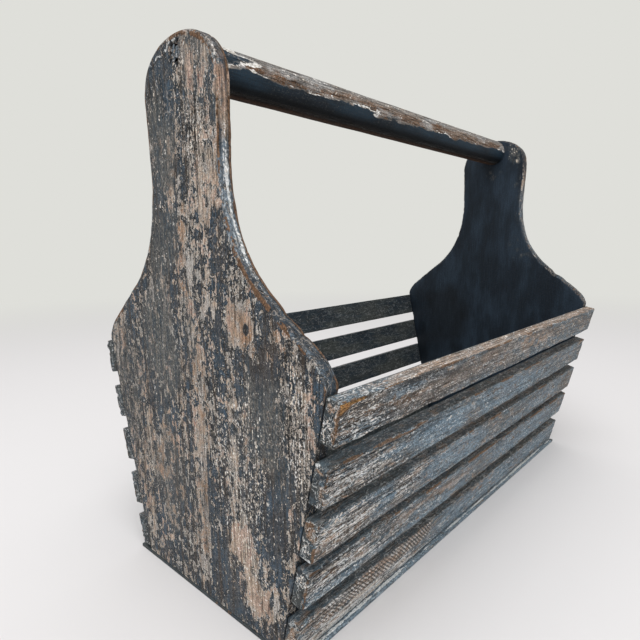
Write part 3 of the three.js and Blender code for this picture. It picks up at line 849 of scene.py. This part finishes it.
def floor_panel():
    """The thin floor panel: a bar laid flat, as wide as the base, eased along its edges. Its long edges
    are chalky, and the rest is dark. A white line along the lowest slat's foot is a painted highlight."""
    centre, (half_length, half_width, half_thick) = node_box("floor_panel")
    half = (half_length, half_thick, half_width)
    steps = np.arange(-half_length, half_length, PANEL_STEP)

    def relief(x, out, up):
        """Slight unevenness of the sheet's faces and sawn edges."""
        return np.clip(0.06 + 0.05 * rough_hills(701, x / 9, up / 9, out / 2), 0, 0.3)

    x, out, up = bar_surface(half, steps, PANEL_ARRIS, PANEL_SIDE_COLUMNS, 700, relief, 0.0)
    edge_gap = half_width - np.abs(up)
    edge = (1 - ramp(edge_gap, *LEDGE_FADE)) * ramp(half_length - np.abs(x), 1.0, 6.0)
    ledge = edge * ramp(out, 0.55 * half_thick, 0.95 * half_thick)
    # Painted highlight: a white line on the ledge at the lowest slat's foot
    foot = ledge * bell(edge_gap - FOOT_HIGHLIGHT_PLACE, FOOT_HIGHLIGHT_WIDTH)
    grid = {
        "points": grid_points(centre[0] + x, centre[1] + up, centre[2] + out),
        "closed": True,
        "bare": -0.12,
        "dark": 0.8 * (1 - edge),
        "chalk": 0.7 * edge,
        "film": 0.55 * edge,
        "white_lime_and_highlight": 0.9 * foot * np.clip(0.85 + 0.5 * rough_hills(706, x / 25), 0, 1),
        "rub": 0.75 * np.clip(rough_hills(705, up / 7, x / 40) - 0.1, 0, 1) * (1 - edge),
    }
    make_piece("floor_panel", [grid], slat_finish)


# Handle and plugs

# Angles round the handle, in degrees from its top towards -Y, over which each thing starts or ends
BROWN_START = (52, 72)
BROWN_END = (92, 100)
PAINT_START = (95, 101)
PAINT_END = (138, 158)
SHADE_START = (112, 140)
SHADE_END = (156, 174)
RAW_START = (150, 168)
RAW_END = (-165, -150)
BACK_END = (-90, -60)
# Notch in the edge of the paint: place along the handle, reach, and degrees
PAINT_NOTCH = (85, 9, 16)
# Paint left at the near end, which starts over these places: ovals of degrees and of places along
DOWEL_NEAR_END = (-150, -178)
END_PAINT = ((-20, -203, 26, 40, 1), (63, -203, 26, 40, 1))


def handle_dowel():
    """The handle: a radius for every place along the dowel and every angle round it, flattened a
    little where the hand has worn it, with both ends eased and closed at the middle. Its top is bare
    and greyed by hands, browner towards the front, where dark paint starts at a limy, jagged edge.
    Lower down a band is painted near black as shade, above the raw wood underneath."""
    centre, (half_length, _, full) = node_box("handle_dowel")
    angle = np.linspace(0, 2 * math.pi, DOWEL_COLUMNS, endpoint=False)
    turn = np.linspace(0, math.pi / 2, END_ARC_STEPS)
    flat = full - DOWEL_EASE
    end_x = np.concatenate((np.zeros(DOWEL_END_RINGS), DOWEL_EASE * (1 - np.cos(turn))))
    end_rings = np.linspace(0, 1, DOWEL_END_RINGS, endpoint=False) * flat
    end_share = np.concatenate((end_rings, flat + DOWEL_EASE * np.sin(turn))) / full
    straight = half_length - 2 * DOWEL_EASE
    body = np.linspace(-straight, straight, DOWEL_STEPS)
    x = np.concatenate((-half_length + end_x, body, half_length - end_x[::-1]))[:, None]
    share = np.concatenate((end_share, np.ones(DOWEL_STEPS), end_share[::-1]))[:, None]
    side = np.sin(angle)
    top = np.cos(angle)
    worn = 0.25 * ramp(top, 0.2, 1.0) * (0.6 + 0.4 * hills(801, x / 60))
    uneven = 0.18 + 0.12 * rough_hills(802, x / 45, 2 * side, 2 * top)
    uneven = uneven + 0.05 * rough_hills(806, x / 20, 9 * side, 9 * top)
    radius = share * (full - np.clip(worn + uneven, 0, 0.9))
    degrees = np.degrees((angle + math.pi) % (2 * math.pi) - math.pi)
    jag = 9 * rough_hills(810, x / 22, 3 * side, 3 * top)
    jag = jag + 4 * rough_hills(815, x / 4, 8 * side, 8 * top)
    notch_place, notch_reach, notch_degrees = PAINT_NOTCH
    wandering = degrees + jag - notch_degrees * bell(x - notch_place, notch_reach)
    painted = ramp(wandering, *PAINT_START) * (1 - ramp(degrees, *PAINT_END))
    broken = np.clip(0.3 + rough_hills(820, x / 12, side, top), 0, 1)
    rim = bell(wandering - PAINT_START[0], 3) * broken
    brown = between(wandering, BROWN_START, BROWN_END)
    under = ramp(degrees, *RAW_START) + 1 - ramp(degrees, *RAW_END)
    behind = between(degrees, RAW_END, BACK_END)
    near_end = ramp(x, *DOWEL_NEAR_END)
    end_paint = near_end * spots(degrees + 1.5 * jag, x, END_PAINT)
    end_rim = near_end * ramp(end_paint, 0.02, 0.15) * bell(end_paint - 0.32, 0.2)
    open_top = np.clip(1 - painted - under - behind, 0, 1)
    grid = {
        "points": grid_points(centre[0] + x, centre[1] - radius * side, centre[2] + radius * top),
        "closed": True,
        "bare": 0.4 * open_top - 0.3 * painted - 0.35 * end_paint - 0.06 * behind + 0.3 * under,
        "warm": np.clip(0.25 * open_top + brown + under, 0, 1),
        "film": open_top * (1 - brown) * (1 - end_paint) * 0.5,
        "pale": 0.12 * open_top * (1 - brown),
        "white_lime_and_highlight": np.clip(0.8 * rim + 1.6 * end_rim, 0, 1),
        "dark": np.clip(0.85 * painted + 0.35 * behind + 0.85 * end_paint, 0, 1),
        "rough": open_top * 0.5,
        "rub": 1.1 * under,
        # Painted shade: near black low on the side, between the paint and the raw underside
        "grime_and_shade": 0.88 * between(degrees, SHADE_START, SHADE_END),
    }
    make_piece("handle_dowel", [grid], dowel_finish)


# Gaps where a plug has pulled away from its hole: angle from the top to the left, reach, width
PLUG_GAPS = ((-22, 15, 2.0), (34, 13, 1.8), (80, 16, 2.0), (120, 16, 2.2), (-165, 18, 2.2))


def screw_plug(node_name, face, seed):
    """A shrunken plug of filler: a disc in polar steps, its rim pulled in unevenly and its surface
    sunk and crazed, closed by a flat back. Its sides are painted near black as shade in the gap round
    it. Face is the side of the front along X."""
    centre, (half_depth, _, full) = node_box(node_name)
    angle = np.linspace(0, 2 * math.pi, PLUG_COLUMNS, endpoint=False)
    side = np.sin(angle)
    top = np.cos(angle)
    front_rings = np.linspace(0, 1, PLUG_RINGS)
    back_rings = np.linspace(1, 0, PLUG_BACK_RINGS)
    share = np.concatenate((front_rings, np.ones(3), back_rings))[:, None]
    depth = np.concatenate((np.ones(PLUG_RINGS), (0.6, 0, -0.6), -np.ones(PLUG_BACK_RINGS)))[:, None]
    turned = -face * np.degrees(np.arctan2(side, top))
    shrink = 0.08 + 0.25 * np.clip(rough_hills(seed, 2.5 * side, 2.5 * top), 0, 1)
    for at, reach, pulled in PLUG_GAPS:
        apart = (turned - at + 180) % 360 - 180
        shrink = shrink + pulled * bell(apart, reach)
    radius = share * (full - shrink - PLUG_TAPER * (1 - depth) / 2)
    front = np.clip(depth, 0, 1)
    sunk = 0.15 + 0.12 * np.clip(rough_hills(seed + 4, 3 * share * side, 3 * share * top), -0.6, 1)
    crack = 0.7 * bell(rough_hills(seed + 8, 2.2 * share * side, 2.2 * share * top), 0.05)
    x = centre[0] + face * (depth * half_depth - front * (sunk + crack))
    grid = {
        "points": grid_points(x, centre[1] + radius * side, centre[2] + radius * top),
        "closed": True,
        "bare": -0.12,
        # Dark crazing on the front, and painted shade on the sides in the gap round the plug
        "grime_and_shade": np.clip(crack * front, 0, 0.9) + 1 - ramp(depth, 0.6, 1.0),
        "chalk": 0.8,
        "white_lime_and_highlight": 0.1,
        "pale": 0.5 * share,
        "rough": 0.6,
    }
    make_piece(node_name, [grid], plug_finish)


# Finishes


def linear(code):
    """An sRGB hex colour as linear red, green, blue and a full alpha."""
    shades = np.array([int(code[k : k + 2], 16) for k in (1, 3, 5)]) / 255
    shades = np.where(shades <= 0.04045, shades / 12.92, ((shades + 0.055) / 1.055) ** 2.4)
    return (*shades.tolist(), 1.0)


def add(tree, kind, inputs, output=None, **settings):
    """Adds one node with its settings, fills its inputs with values or links, and gives the output
    that is named, or else the first that is in use."""
    made = tree.nodes.new("ShaderNode" + kind)
    for key, value in settings.items():
        setattr(made, key, value)
    for key, value in inputs.items():
        named = [socket for socket in made.inputs if socket.enabled and socket.name == key]
        socket = made.inputs[key] if isinstance(key, int) else named[0]
        if isinstance(value, bpy.types.NodeSocket):
            tree.links.new(value, socket)
        else:
            socket.default_value = value
    if output is not None:
        return made.outputs[output]
    return next((socket for socket in made.outputs if socket.enabled), None)


def empty_tree(owner):
    """The node tree of a new material or world, emptied."""
    owner.use_nodes = True
    owner.node_tree.nodes.clear()
    return owner.node_tree


# Sizes of the paint and wood patterns: across the grain, along the grain, detail, roughness, distortion.
# Grit and fibres are finer on the wood; here they are as coarse as they need to be to show.
PATTERN_SIZES = {
    "chips": (5.2, 8.0, 4.0, 0.58, 0.7),
    "streaks": (1.8, 34.0, 3.0, 0.6, 0.0),
    "flecks": (2.2, 3.0, 2.0, 0.55, 0.7),
    "grit": (1.0, 1.3, 2.0, 0.6, 0.0),
    "rings": (3.2, 130.0, 3.0, 0.55, 0.0),
    "fibres": (1.1, 16.0, 2.0, 0.6, 0.0),
    "cracks": (3.4, 60.0, 3.0, 0.55, 0.2),
    "crackle": (4.2, 6.0, 2.0, 0.5, 0.9),
    "patches": (11.0, 24.0, 4.0, 0.6, 0.3),
    "clouds": (20.0, 55.0, 3.0, 0.55, 0.0),
}
# Heights made of patterns and wear marks, each with its weight
MIXED_HEIGHTS = {
    "left": (("streaks", 0.30), ("chips", 0.90), ("flecks", 0.55), ("grit", 0.25), ("bare", -1.0)),
    "flaked": (("fibres", 0.24), ("flecks", 0.52), ("grit", 0.24), ("pale", 0.12), ("dark", -0.15)),
    "smudge": (("flecks", 0.5), ("streaks", 0.5)),
    "limy_height_and_highlight": (("white_lime_and_highlight", 1.0), ("flecks", 0.5), ("grit", 0.3)),
    "worn": (("rub", 0.9), ("flecks", 1.2), ("streaks", 0.6)),
}
# Layers from the wood up: colour, amount, and where it lies. Each place is a height with the values
# where the layer starts and is whole, or the name of a wear mark or of a layer below.
FINISH_LAYERS = (
    ("wood_brown", 0.8, ("rings", 0.40, 0.64)),
    ("wood_grey", 0.7, ("clouds", 0.40, 0.62)),
    ("wood_pink", 0.7, ("patches", 0.50, 0.60)),
    ("wood_warm", 1.0, ("streaks", 0.30, 0.60), "warm"),
    ("haze", 0.6, ("patches", 0.49, 0.38)),
    ("wood_fibre", 0.6, ("fibres", 0.52, 0.66)),
    ("smear", 0.3, ("clouds", 0.40, 0.60), ("left", 0.80, 0.95)),
    ("undercoat", 0.95, ("left", 0.92, 0.95), ("fibres", 0.72, 0.50)),
    ("paint", 1.0, ("left", 0.968, 0.988)),
    ("paint_thin", 0.8, ("patches", 0.46, 0.62), "paint"),
    ("paint_thin", 0.5, ("flecks", 0.48, 0.60), "paint"),
    ("paint_dark", 0.8, ("streaks", 0.52, 0.64), "paint"),
    ("paint_brown", 0.6, ("rings", 0.50, 0.62), "paint"),
    ("paint_brown", 0.35, ("clouds", 0.52, 0.60), "paint"),
    ("paint_brown", 0.6, ("warm", 0.5, 1.1), "paint"),
    # Dark line just inside each paint edge: partly dirt, partly painted shade of the thick edge
    ("paint_edge_dirt_and_shade", 0.95, ("left", 1.08, 1.0), "paint"),
    ("stain", 0.35, ("rings", 0.54, 0.68)),
    ("stain", 0.3, ("clouds", 0.47, 0.36)),
    ("salt", 0.8, ("grit", 0.41, 0.34)),
    ("pit", 0.85, ("grit", 0.58, 0.65)),
    ("film_grey", 0.85, ("chips", 0.28, 0.50), "film"),
    ("film_pale", 0.85, ("smudge", 0.46, 0.56), "film_grey"),
    ("chalk_blue", 0.9, ("chips", 0.32, 0.46), "chalk"),
    ("chalk_pale", 0.8, ("smudge", 0.50, 0.60), "chalk_blue"),
    ("dark_coat", 1.0, "dark"),
    ("dark_thin", 0.9, ("clouds", 0.35, 0.65), "dark"),
    # White lime, and painted highlights at the lowest slat's foot and glints on the fourth slat
    ("limed_white_and_highlight", 1.0, ("limy_height_and_highlight", 0.70, 0.82)),
    ("white_fleck", 0.85, ("flaked", 0.60, 0.645)),
    ("cream_fleck", 0.9, ("streaks", 0.46, 0.58), "white_fleck"),
    ("crack", 0.9, ("cracks", 0.47, 0.5), ("cracks", 0.53, 0.5), "rough"),
    ("crackle_line", 0.8, ("crackle", 0.47, 0.5), ("crackle", 0.53, 0.5), "rough"),
    ("chip_lip", 0.85, ("crackle", 0.52, 0.545), ("crackle", 0.585, 0.565), "rough"),
    ("raw", 0.9, ("worn", 1.40, 1.46)),
    ("raw_bright", 0.9, ("worn", 1.42, 1.54), ("warm", 1.2, 1.6)),
    ("raw_dark", 0.8, ("fibres", 0.42, 0.60), "raw"),
    # Dirt, and painted shade in the plug holes, between the slats and under the handle
    ("dirt_and_shade", 1.0, "grime_and_shade"),
)
# Relief of the finish in millimetres; the real coat is thinner, but would not show
FINISH_RELIEF = (
    ("paint", 0.26),
    ("undercoat", 0.10),
    ("crack", -0.3),
    ("crackle_line", -0.15),
    ("fibres", 0.2),
    ("flecks", 0.25),
    ("grit", 0.25),
)
WOOD_ROUGHNESS = 0.9
PAINT_ROUGHNESS = 0.62
PAINT_SPECULAR = 0.22
# How strongly grit and fibres shade the finish where it is worn, and where a coat lies whole on it
WORN_TONE = 0.8
WHOLE_TONE = 0.2
TONE_SPAN = {"From Min": 0.3, "From Max": 0.7}


def worn_paint(name, grain_axis, colours, size=1.0, stretch=1.0):
    """Paint over an undercoat on wood, laid up layer by layer from the wood: each layer covers the ones
    below it by its amount times the shares of its places. Size scales the patterns, and stretch draws
    them out along the grain."""
    material = bpy.data.materials.new(name)
    tree = empty_tree(material)
    place = add(tree, "TexCoord", {}, "Object")
    known = {mark: add(tree, "Attribute", {}, "Fac", attribute_name=mark) for mark in WEAR_MARKS}
    for pattern, (across, along, detail, roughness, distortion) in PATTERN_SIZES.items():
        per_metre = [1 / (across * size * MM)] * 3
        per_metre[grain_axis] = 1 / (along * size * stretch * MM)
        spaced = add(tree, "VectorMath", {0: place, 1: per_metre}, operation="MULTIPLY")
        settings = {"Scale": 1.0, "Detail": detail, "Roughness": roughness, "Distortion": distortion}
        known[pattern] = add(tree, "TexNoise", {"Vector": spaced, **settings})
    for height, weights in MIXED_HEIGHTS.items():
        total = 0.0
        for part, weight in weights:
            total = add(tree, "Math", {0: known[part], 1: weight, 2: total}, operation="MULTIPLY_ADD")
        known[height] = total
    coat = linear(colours["wood"])
    for colour, amount, *places in FINISH_LAYERS:
        share = amount
        for where in places:
            if isinstance(where, str):
                here = known[where]
            else:
                height, start, whole = where
                span = {"Value": known[height], "From Min": start, "From Max": whole}
                here = add(tree, "MapRange", span, interpolation_type="SMOOTHSTEP")
            share = add(tree, "Math", {0: here, 1: share}, operation="MULTIPLY", use_clamp=True)
        known[colour] = share
        laid = {"Factor": share, "A": coat, "B": linear(colours[colour])}
        coat = add(tree, "Mix", laid, data_type="RGBA")
    for pattern, cover in (("grit", "dark_coat"), ("fibres", "paint")):
        shown = {"Value": known[cover], "To Min": WORN_TONE, "To Max": WHOLE_TONE}
        strength = add(tree, "MapRange", shown)
        tone = add(tree, "MapRange", {"Value": known[pattern], **TONE_SPAN})
        shaded = {"Factor": strength, "A": coat, "B": tone}
        coat = add(tree, "Mix", shaded, data_type="RGBA", blend_type="OVERLAY")
    relief = 0.0
    for part, deep in FINISH_RELIEF:
        relief = add(tree, "Math", {0: known[part], 1: deep, 2: relief}, operation="MULTIPLY_ADD")
    bump = add(tree, "Bump", {"Strength": 1.0, "Distance": MM, "Height": relief})
    dull = {"To Min": WOOD_ROUGHNESS, "To Max": PAINT_ROUGHNESS}
    gloss = add(tree, "MapRange", {"Value": known["paint"], **dull})
    shine = {"Roughness": gloss, "Specular IOR Level": PAINT_SPECULAR}
    shader = add(tree, "BsdfPrincipled", {"Base Color": coat, "Normal": bump, **shine})
    add(tree, "OutputMaterial", {"Surface": shader})
    return material


BOARD_COLOURS = {
    "wood": "#CAB8A6",
    "wood_brown": "#957B66",
    "wood_grey": "#B1A89D",
    "wood_pink": "#CFB2A2",
    "wood_warm": "#9C7757",
    "wood_fibre": "#584A3F",
    "smear": "#716B66",
    "undercoat": "#DAD6CF",
    "paint": "#2A3844",
    "paint_thin": "#455868",
    "paint_dark": "#181A1B",
    "paint_brown": "#3B3129",
    # Dark of dirt and painted shade at the paint's edges
    "paint_edge_dirt_and_shade": "#12100E",
    "film_grey": "#3F484E",
    "film_pale": "#77736C",
    "chalk_blue": "#6F7B85",
    "chalk_pale": "#A9B1B6",
    "limed_white_and_highlight": "#C9CCCC",
    "dark_coat": "#151F29",
    "dark_thin": "#293643",
    "white_fleck": "#D3CFCA",
    "cream_fleck": "#CDB8A3",
    "crackle_line": "#15120F",
    "chip_lip": "#958D85",
    "haze": "#B6B9BA",
    "stain": "#483A2D",
    "pit": "#110E0B",
    "crack": "#191512",
    "salt": "#D2D0CC",
    "raw": "#755840",
    "raw_bright": "#B47C40",
    "raw_dark": "#453225",
    # Near black of dirt and of painted shade
    "dirt_and_shade": "#0C0D0E",
}
SLAT_COLOURS = {
    **BOARD_COLOURS,
    "wood": "#BDB2A7",
    "wood_brown": "#86705D",
    "wood_grey": "#9A9691",
    "wood_pink": "#BCA594",
    "smear": "#6C6B69",
    "undercoat": "#DAD8D4",
    "paint": "#5E7280",
    "paint_thin": "#8498A4",
    "paint_brown": "#5B5854",
    "paint_dark": "#2B2A29",
    "film_grey": "#5F544B",
    "film_pale": "#8B7F75",
    "chalk_blue": "#6C8190",
    "chalk_pale": "#9FADB5",
    "dark_coat": "#1F2A33",
    "dark_thin": "#484B48",
    "chip_lip": "#CDCFCE",
    "white_fleck": "#DCDEDE",
    "cream_fleck": "#D9C6B2",
    "raw": "#7E644E",
    "raw_bright": "#BE8F56",
    "raw_dark": "#4C392B",
}
DOWEL_COLOURS = {
    **BOARD_COLOURS,
    "wood": "#A59D94",
    "wood_brown": "#77675A",
    "wood_grey": "#8A837B",
    "wood_pink": "#9D9185",
    "wood_warm": "#6B4D36",
    "wood_fibre": "#4E4238",
    "film_grey": "#5D6164",
    "film_pale": "#8F8E8B",
    "dark_coat": "#0D1A24",
    "dark_thin": "#223746",
    "limed_white_and_highlight": "#E0DDD8",
    "raw": "#472A14",
    "raw_dark": "#1D1108",
}


# Drawing lines of the steel; on real wire they are finer and would not show
STEEL_LINES = 0.4
STEEL_COLOURS = ("#6E6E70", "#9C9C9E")
STEEL_ROUGHNESS = (0.28, 0.5)


def staple_wire():
    """Drawn steel of staples, brads and screws: lines of noise between two greys and two glosses."""
    material = bpy.data.materials.new("drawn_steel_wire")
    tree = empty_tree(material)
    place = add(tree, "TexCoord", {}, "Object")
    spaced = add(tree, "VectorMath", {0: place, 1: (1 / (STEEL_LINES * MM),) * 3}, operation="MULTIPLY")
    lines = add(tree, "TexNoise", {"Vector": spaced, "Scale": 1.0, "Detail": 3.0})
    dim, bright = STEEL_COLOURS
    shades = {"Factor": lines, "A": linear(dim), "B": linear(bright)}
    shade = add(tree, "Mix", shades, data_type="RGBA")
    smooth, rough = STEEL_ROUGHNESS
    gloss = add(tree, "MapRange", {"Value": lines, "To Min": smooth, "To Max": rough})
    shader = add(tree, "BsdfPrincipled", {"Base Color": shade, "Metallic": 1.0, "Roughness": gloss})
    add(tree, "OutputMaterial", {"Surface": shader})
    return material


# Slate paint brushed over a whitish undercoat on pine, then sanded back and knocked about. It is dull
# and dark, stops at crisp chipped edges, and leaves streaky bare wood, grey film and brown raw arrises.
board_finish = worn_paint("slate_paint_sanded_back_on_pine_board", 2, BOARD_COLOURS)
# The same paint, paler with lime, brushed along sawn slats: bluer and chalkier, in marks drawn out along
# the grain, with whitish flakes. The floor panel has it too.
slat_finish = worn_paint("limed_slate_paint_on_sawn_pine_slat", 0, SLAT_COLOURS, size=0.85, stretch=1.5)
# Navy paint on a turned dowel, worn off by hands: near black below, with a band of painted shade,
# greyed smooth wood on top.
dowel_finish = worn_paint("navy_paint_worn_off_turned_dowel", 0, DOWEL_COLOURS)
# Filler pressed into the screw holes and painted over, then shrunken: chalky, crazed and dull.
plug_finish = worn_paint("painted_shrunken_wood_filler", 2, BOARD_COLOURS)
# Steel drawn through a die: bright grey with fine lines.
steel_finish = staple_wire()

end_board("end_board_left", face=-1, seed=100, mirrored=False, chalky=1.0)
end_board("end_board_right", face=1, seed=200, mirrored=True, chalky=0.4)
for slat_number in range(1, SLATS_A_SIDE + 1):
    slat(f"slat_front_{slat_number}", slat_number, way=-1, seed=1000 + 100 * slat_number)
    slat(f"slat_back_{slat_number}", slat_number, way=1, seed=2000 + 100 * slat_number)
floor_panel()
handle_dowel()
screw_plug("screw_plug_left", face=-1, seed=900)
screw_plug("screw_plug_right", face=1, seed=930)
for node_name, node_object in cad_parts.items():
    if node_name.startswith(("staple", "floor_brad", "handle_screw")):
        node_object.data.materials.clear()
        node_object.data.materials.append(steel_finish)

# Floor, light and camera

BACKGROUND = "#DFDFDA"
FLOOR_COLOUR = "#DCDADA"
FLOOR_RADIUS = 6000.0
FLOOR_RINGS = 24
FLOOR_COLUMNS = 96
FADE_FROM = 700.0
FADE_TO = 2200.0
DOME_SHADE = {"From Min": -0.1, "From Max": 1.0, "To Min": 0.45, "To Max": 0.95}
LAMP_PLACE = (-700.0, -500.0, 1700.0)
LAMP_AIM = (0.0, 0.0, 100.0)
LAMP_SIZE = 1400.0
LAMP_WATTS = 22.0


def shown_rays(tree):
    """1 for the rays that show the plain background: from the camera, in gloss and through glass."""
    seen = 0.0
    for ray in ("Is Camera Ray", "Is Glossy Ray", "Is Transmission Ray"):
        seen = add(tree, "Math", {0: add(tree, "LightPath", {}, ray), 1: seen}, operation="MAXIMUM")
    return seen


def pale_floor():
    """A round sheet under the caddy, a disc in polar steps that widen outwards, pale and matt. Far out
    it fades for the camera and for reflections into the background."""
    angle = np.linspace(0, 2 * math.pi, FLOOR_COLUMNS, endpoint=False)
    radius = np.linspace(0, 1, FLOOR_RINGS)[:, None] ** 2 * FLOOR_RADIUS
    points = grid_points(radius * np.cos(angle), radius * np.sin(angle), 0.0)
    facing_up = grid_squares(FLOOR_RINGS, FLOOR_COLUMNS, closed=True)[:, ::-1]
    mesh = bpy.data.meshes.new("pale_floor")
    mesh.from_pydata(points.reshape(-1, 3) * MM, [], facing_up)
    weld(mesh, solid=False)
    material = bpy.data.materials.new("matt_pale_floor")
    tree = empty_tree(material)
    place = add(tree, "TexCoord", {}, "Object")
    distance = add(tree, "VectorMath", {0: place}, "Value", operation="LENGTH")
    fade = {"Value": distance, "From Min": FADE_FROM * MM, "From Max": FADE_TO * MM}
    far = add(tree, "MapRange", fade, interpolation_type="SMOOTHSTEP")
    matt = add(tree, "BsdfDiffuse", {"Color": linear(FLOOR_COLOUR)})
    glow = add(tree, "Emission", {"Color": linear(BACKGROUND), "Strength": 1.0})
    share = add(tree, "Math", {0: far, 1: shown_rays(tree)}, operation="MULTIPLY")
    surface = add(tree, "MixShader", {0: share, 1: matt, 2: glow})
    add(tree, "OutputMaterial", {"Surface": surface})
    mesh.materials.append(material)
    put_in_scene("pale_floor", mesh)


def soft_light():
    """Even studio light: a soft dome, brighter overhead, and one wide lamp above. The dome shows the
    plain background to the camera and in reflections."""
    world = bpy.data.worlds.new("soft_dome")
    tree = empty_tree(world)
    direction = add(tree, "TexCoord", {}, "Generated")
    height = add(tree, "SeparateXYZ", {0: direction}, "Z")
    strength = add(tree, "MapRange", {"Value": height, **DOME_SHADE})
    light = add(tree, "Background", {"Color": linear("#FFFFFF"), "Strength": strength})
    plain = add(tree, "Background", {"Color": linear(BACKGROUND), "Strength": 1.0})
    surface = add(tree, "MixShader", {0: shown_rays(tree), 1: light, 2: plain})
    add(tree, "OutputWorld", {"Surface": surface})
    bpy.context.scene.world = world
    lamp = bpy.data.lights.new("wide_lamp", "AREA")
    lamp.size = LAMP_SIZE * MM
    lamp.energy = LAMP_WATTS
    hanging = put_in_scene("wide_lamp", lamp)
    hanging.location = Vector(LAMP_PLACE) * MM
    aim = Vector(LAMP_AIM) - Vector(LAMP_PLACE)
    hanging.rotation_euler = aim.to_track_quat("-Z", "Y").to_euler()


PICTURE_PIXELS = 640
FOCAL_PIXELS = 493.8
CENTRE_PIXEL = (319.2, 335.6)
SENSOR_WIDTH = 36.0
CAMERA_PLACE = (-385.9, -261.7, 237.9)
CAMERA_YAW = 0.7426
CAMERA_PITCH = 0.1849
CAMERA_ROLL = -0.0107
CAMERA_NEAR = 10.0


def photo_camera():
    """Camera at the photograph's place: yaw from +X towards +Y, pitch downwards, then a slight roll."""
    forward = Vector(
        (
            math.cos(CAMERA_YAW) * math.cos(CAMERA_PITCH),
            math.sin(CAMERA_YAW) * math.cos(CAMERA_PITCH),
            -math.sin(CAMERA_PITCH),
        )
    )
    level = Vector((math.sin(CAMERA_YAW), -math.cos(CAMERA_YAW), 0))
    upright = level.cross(forward)
    right = math.cos(CAMERA_ROLL) * level + math.sin(CAMERA_ROLL) * upright
    up = -math.sin(CAMERA_ROLL) * level + math.cos(CAMERA_ROLL) * upright
    lens = bpy.data.cameras.new("photo_camera")
    lens.sensor_width = SENSOR_WIDTH
    lens.lens = SENSOR_WIDTH * FOCAL_PIXELS / PICTURE_PIXELS
    lens.shift_x = (PICTURE_PIXELS / 2 - CENTRE_PIXEL[0]) / PICTURE_PIXELS
    lens.shift_y = (CENTRE_PIXEL[1] - PICTURE_PIXELS / 2) / PICTURE_PIXELS
    lens.clip_start = CAMERA_NEAR * MM
    turned = Matrix((right, up, -forward)).transposed().to_4x4()
    camera = put_in_scene("photo_camera", lens)
    camera.matrix_world = Matrix.Translation(Vector(CAMERA_PLACE) * MM) @ turned
    bpy.context.scene.camera = camera


pale_floor()
soft_light()
photo_camera()
bpy.context.scene.view_settings.view_transform = "Standard"

bpy.context.view_layer.update()
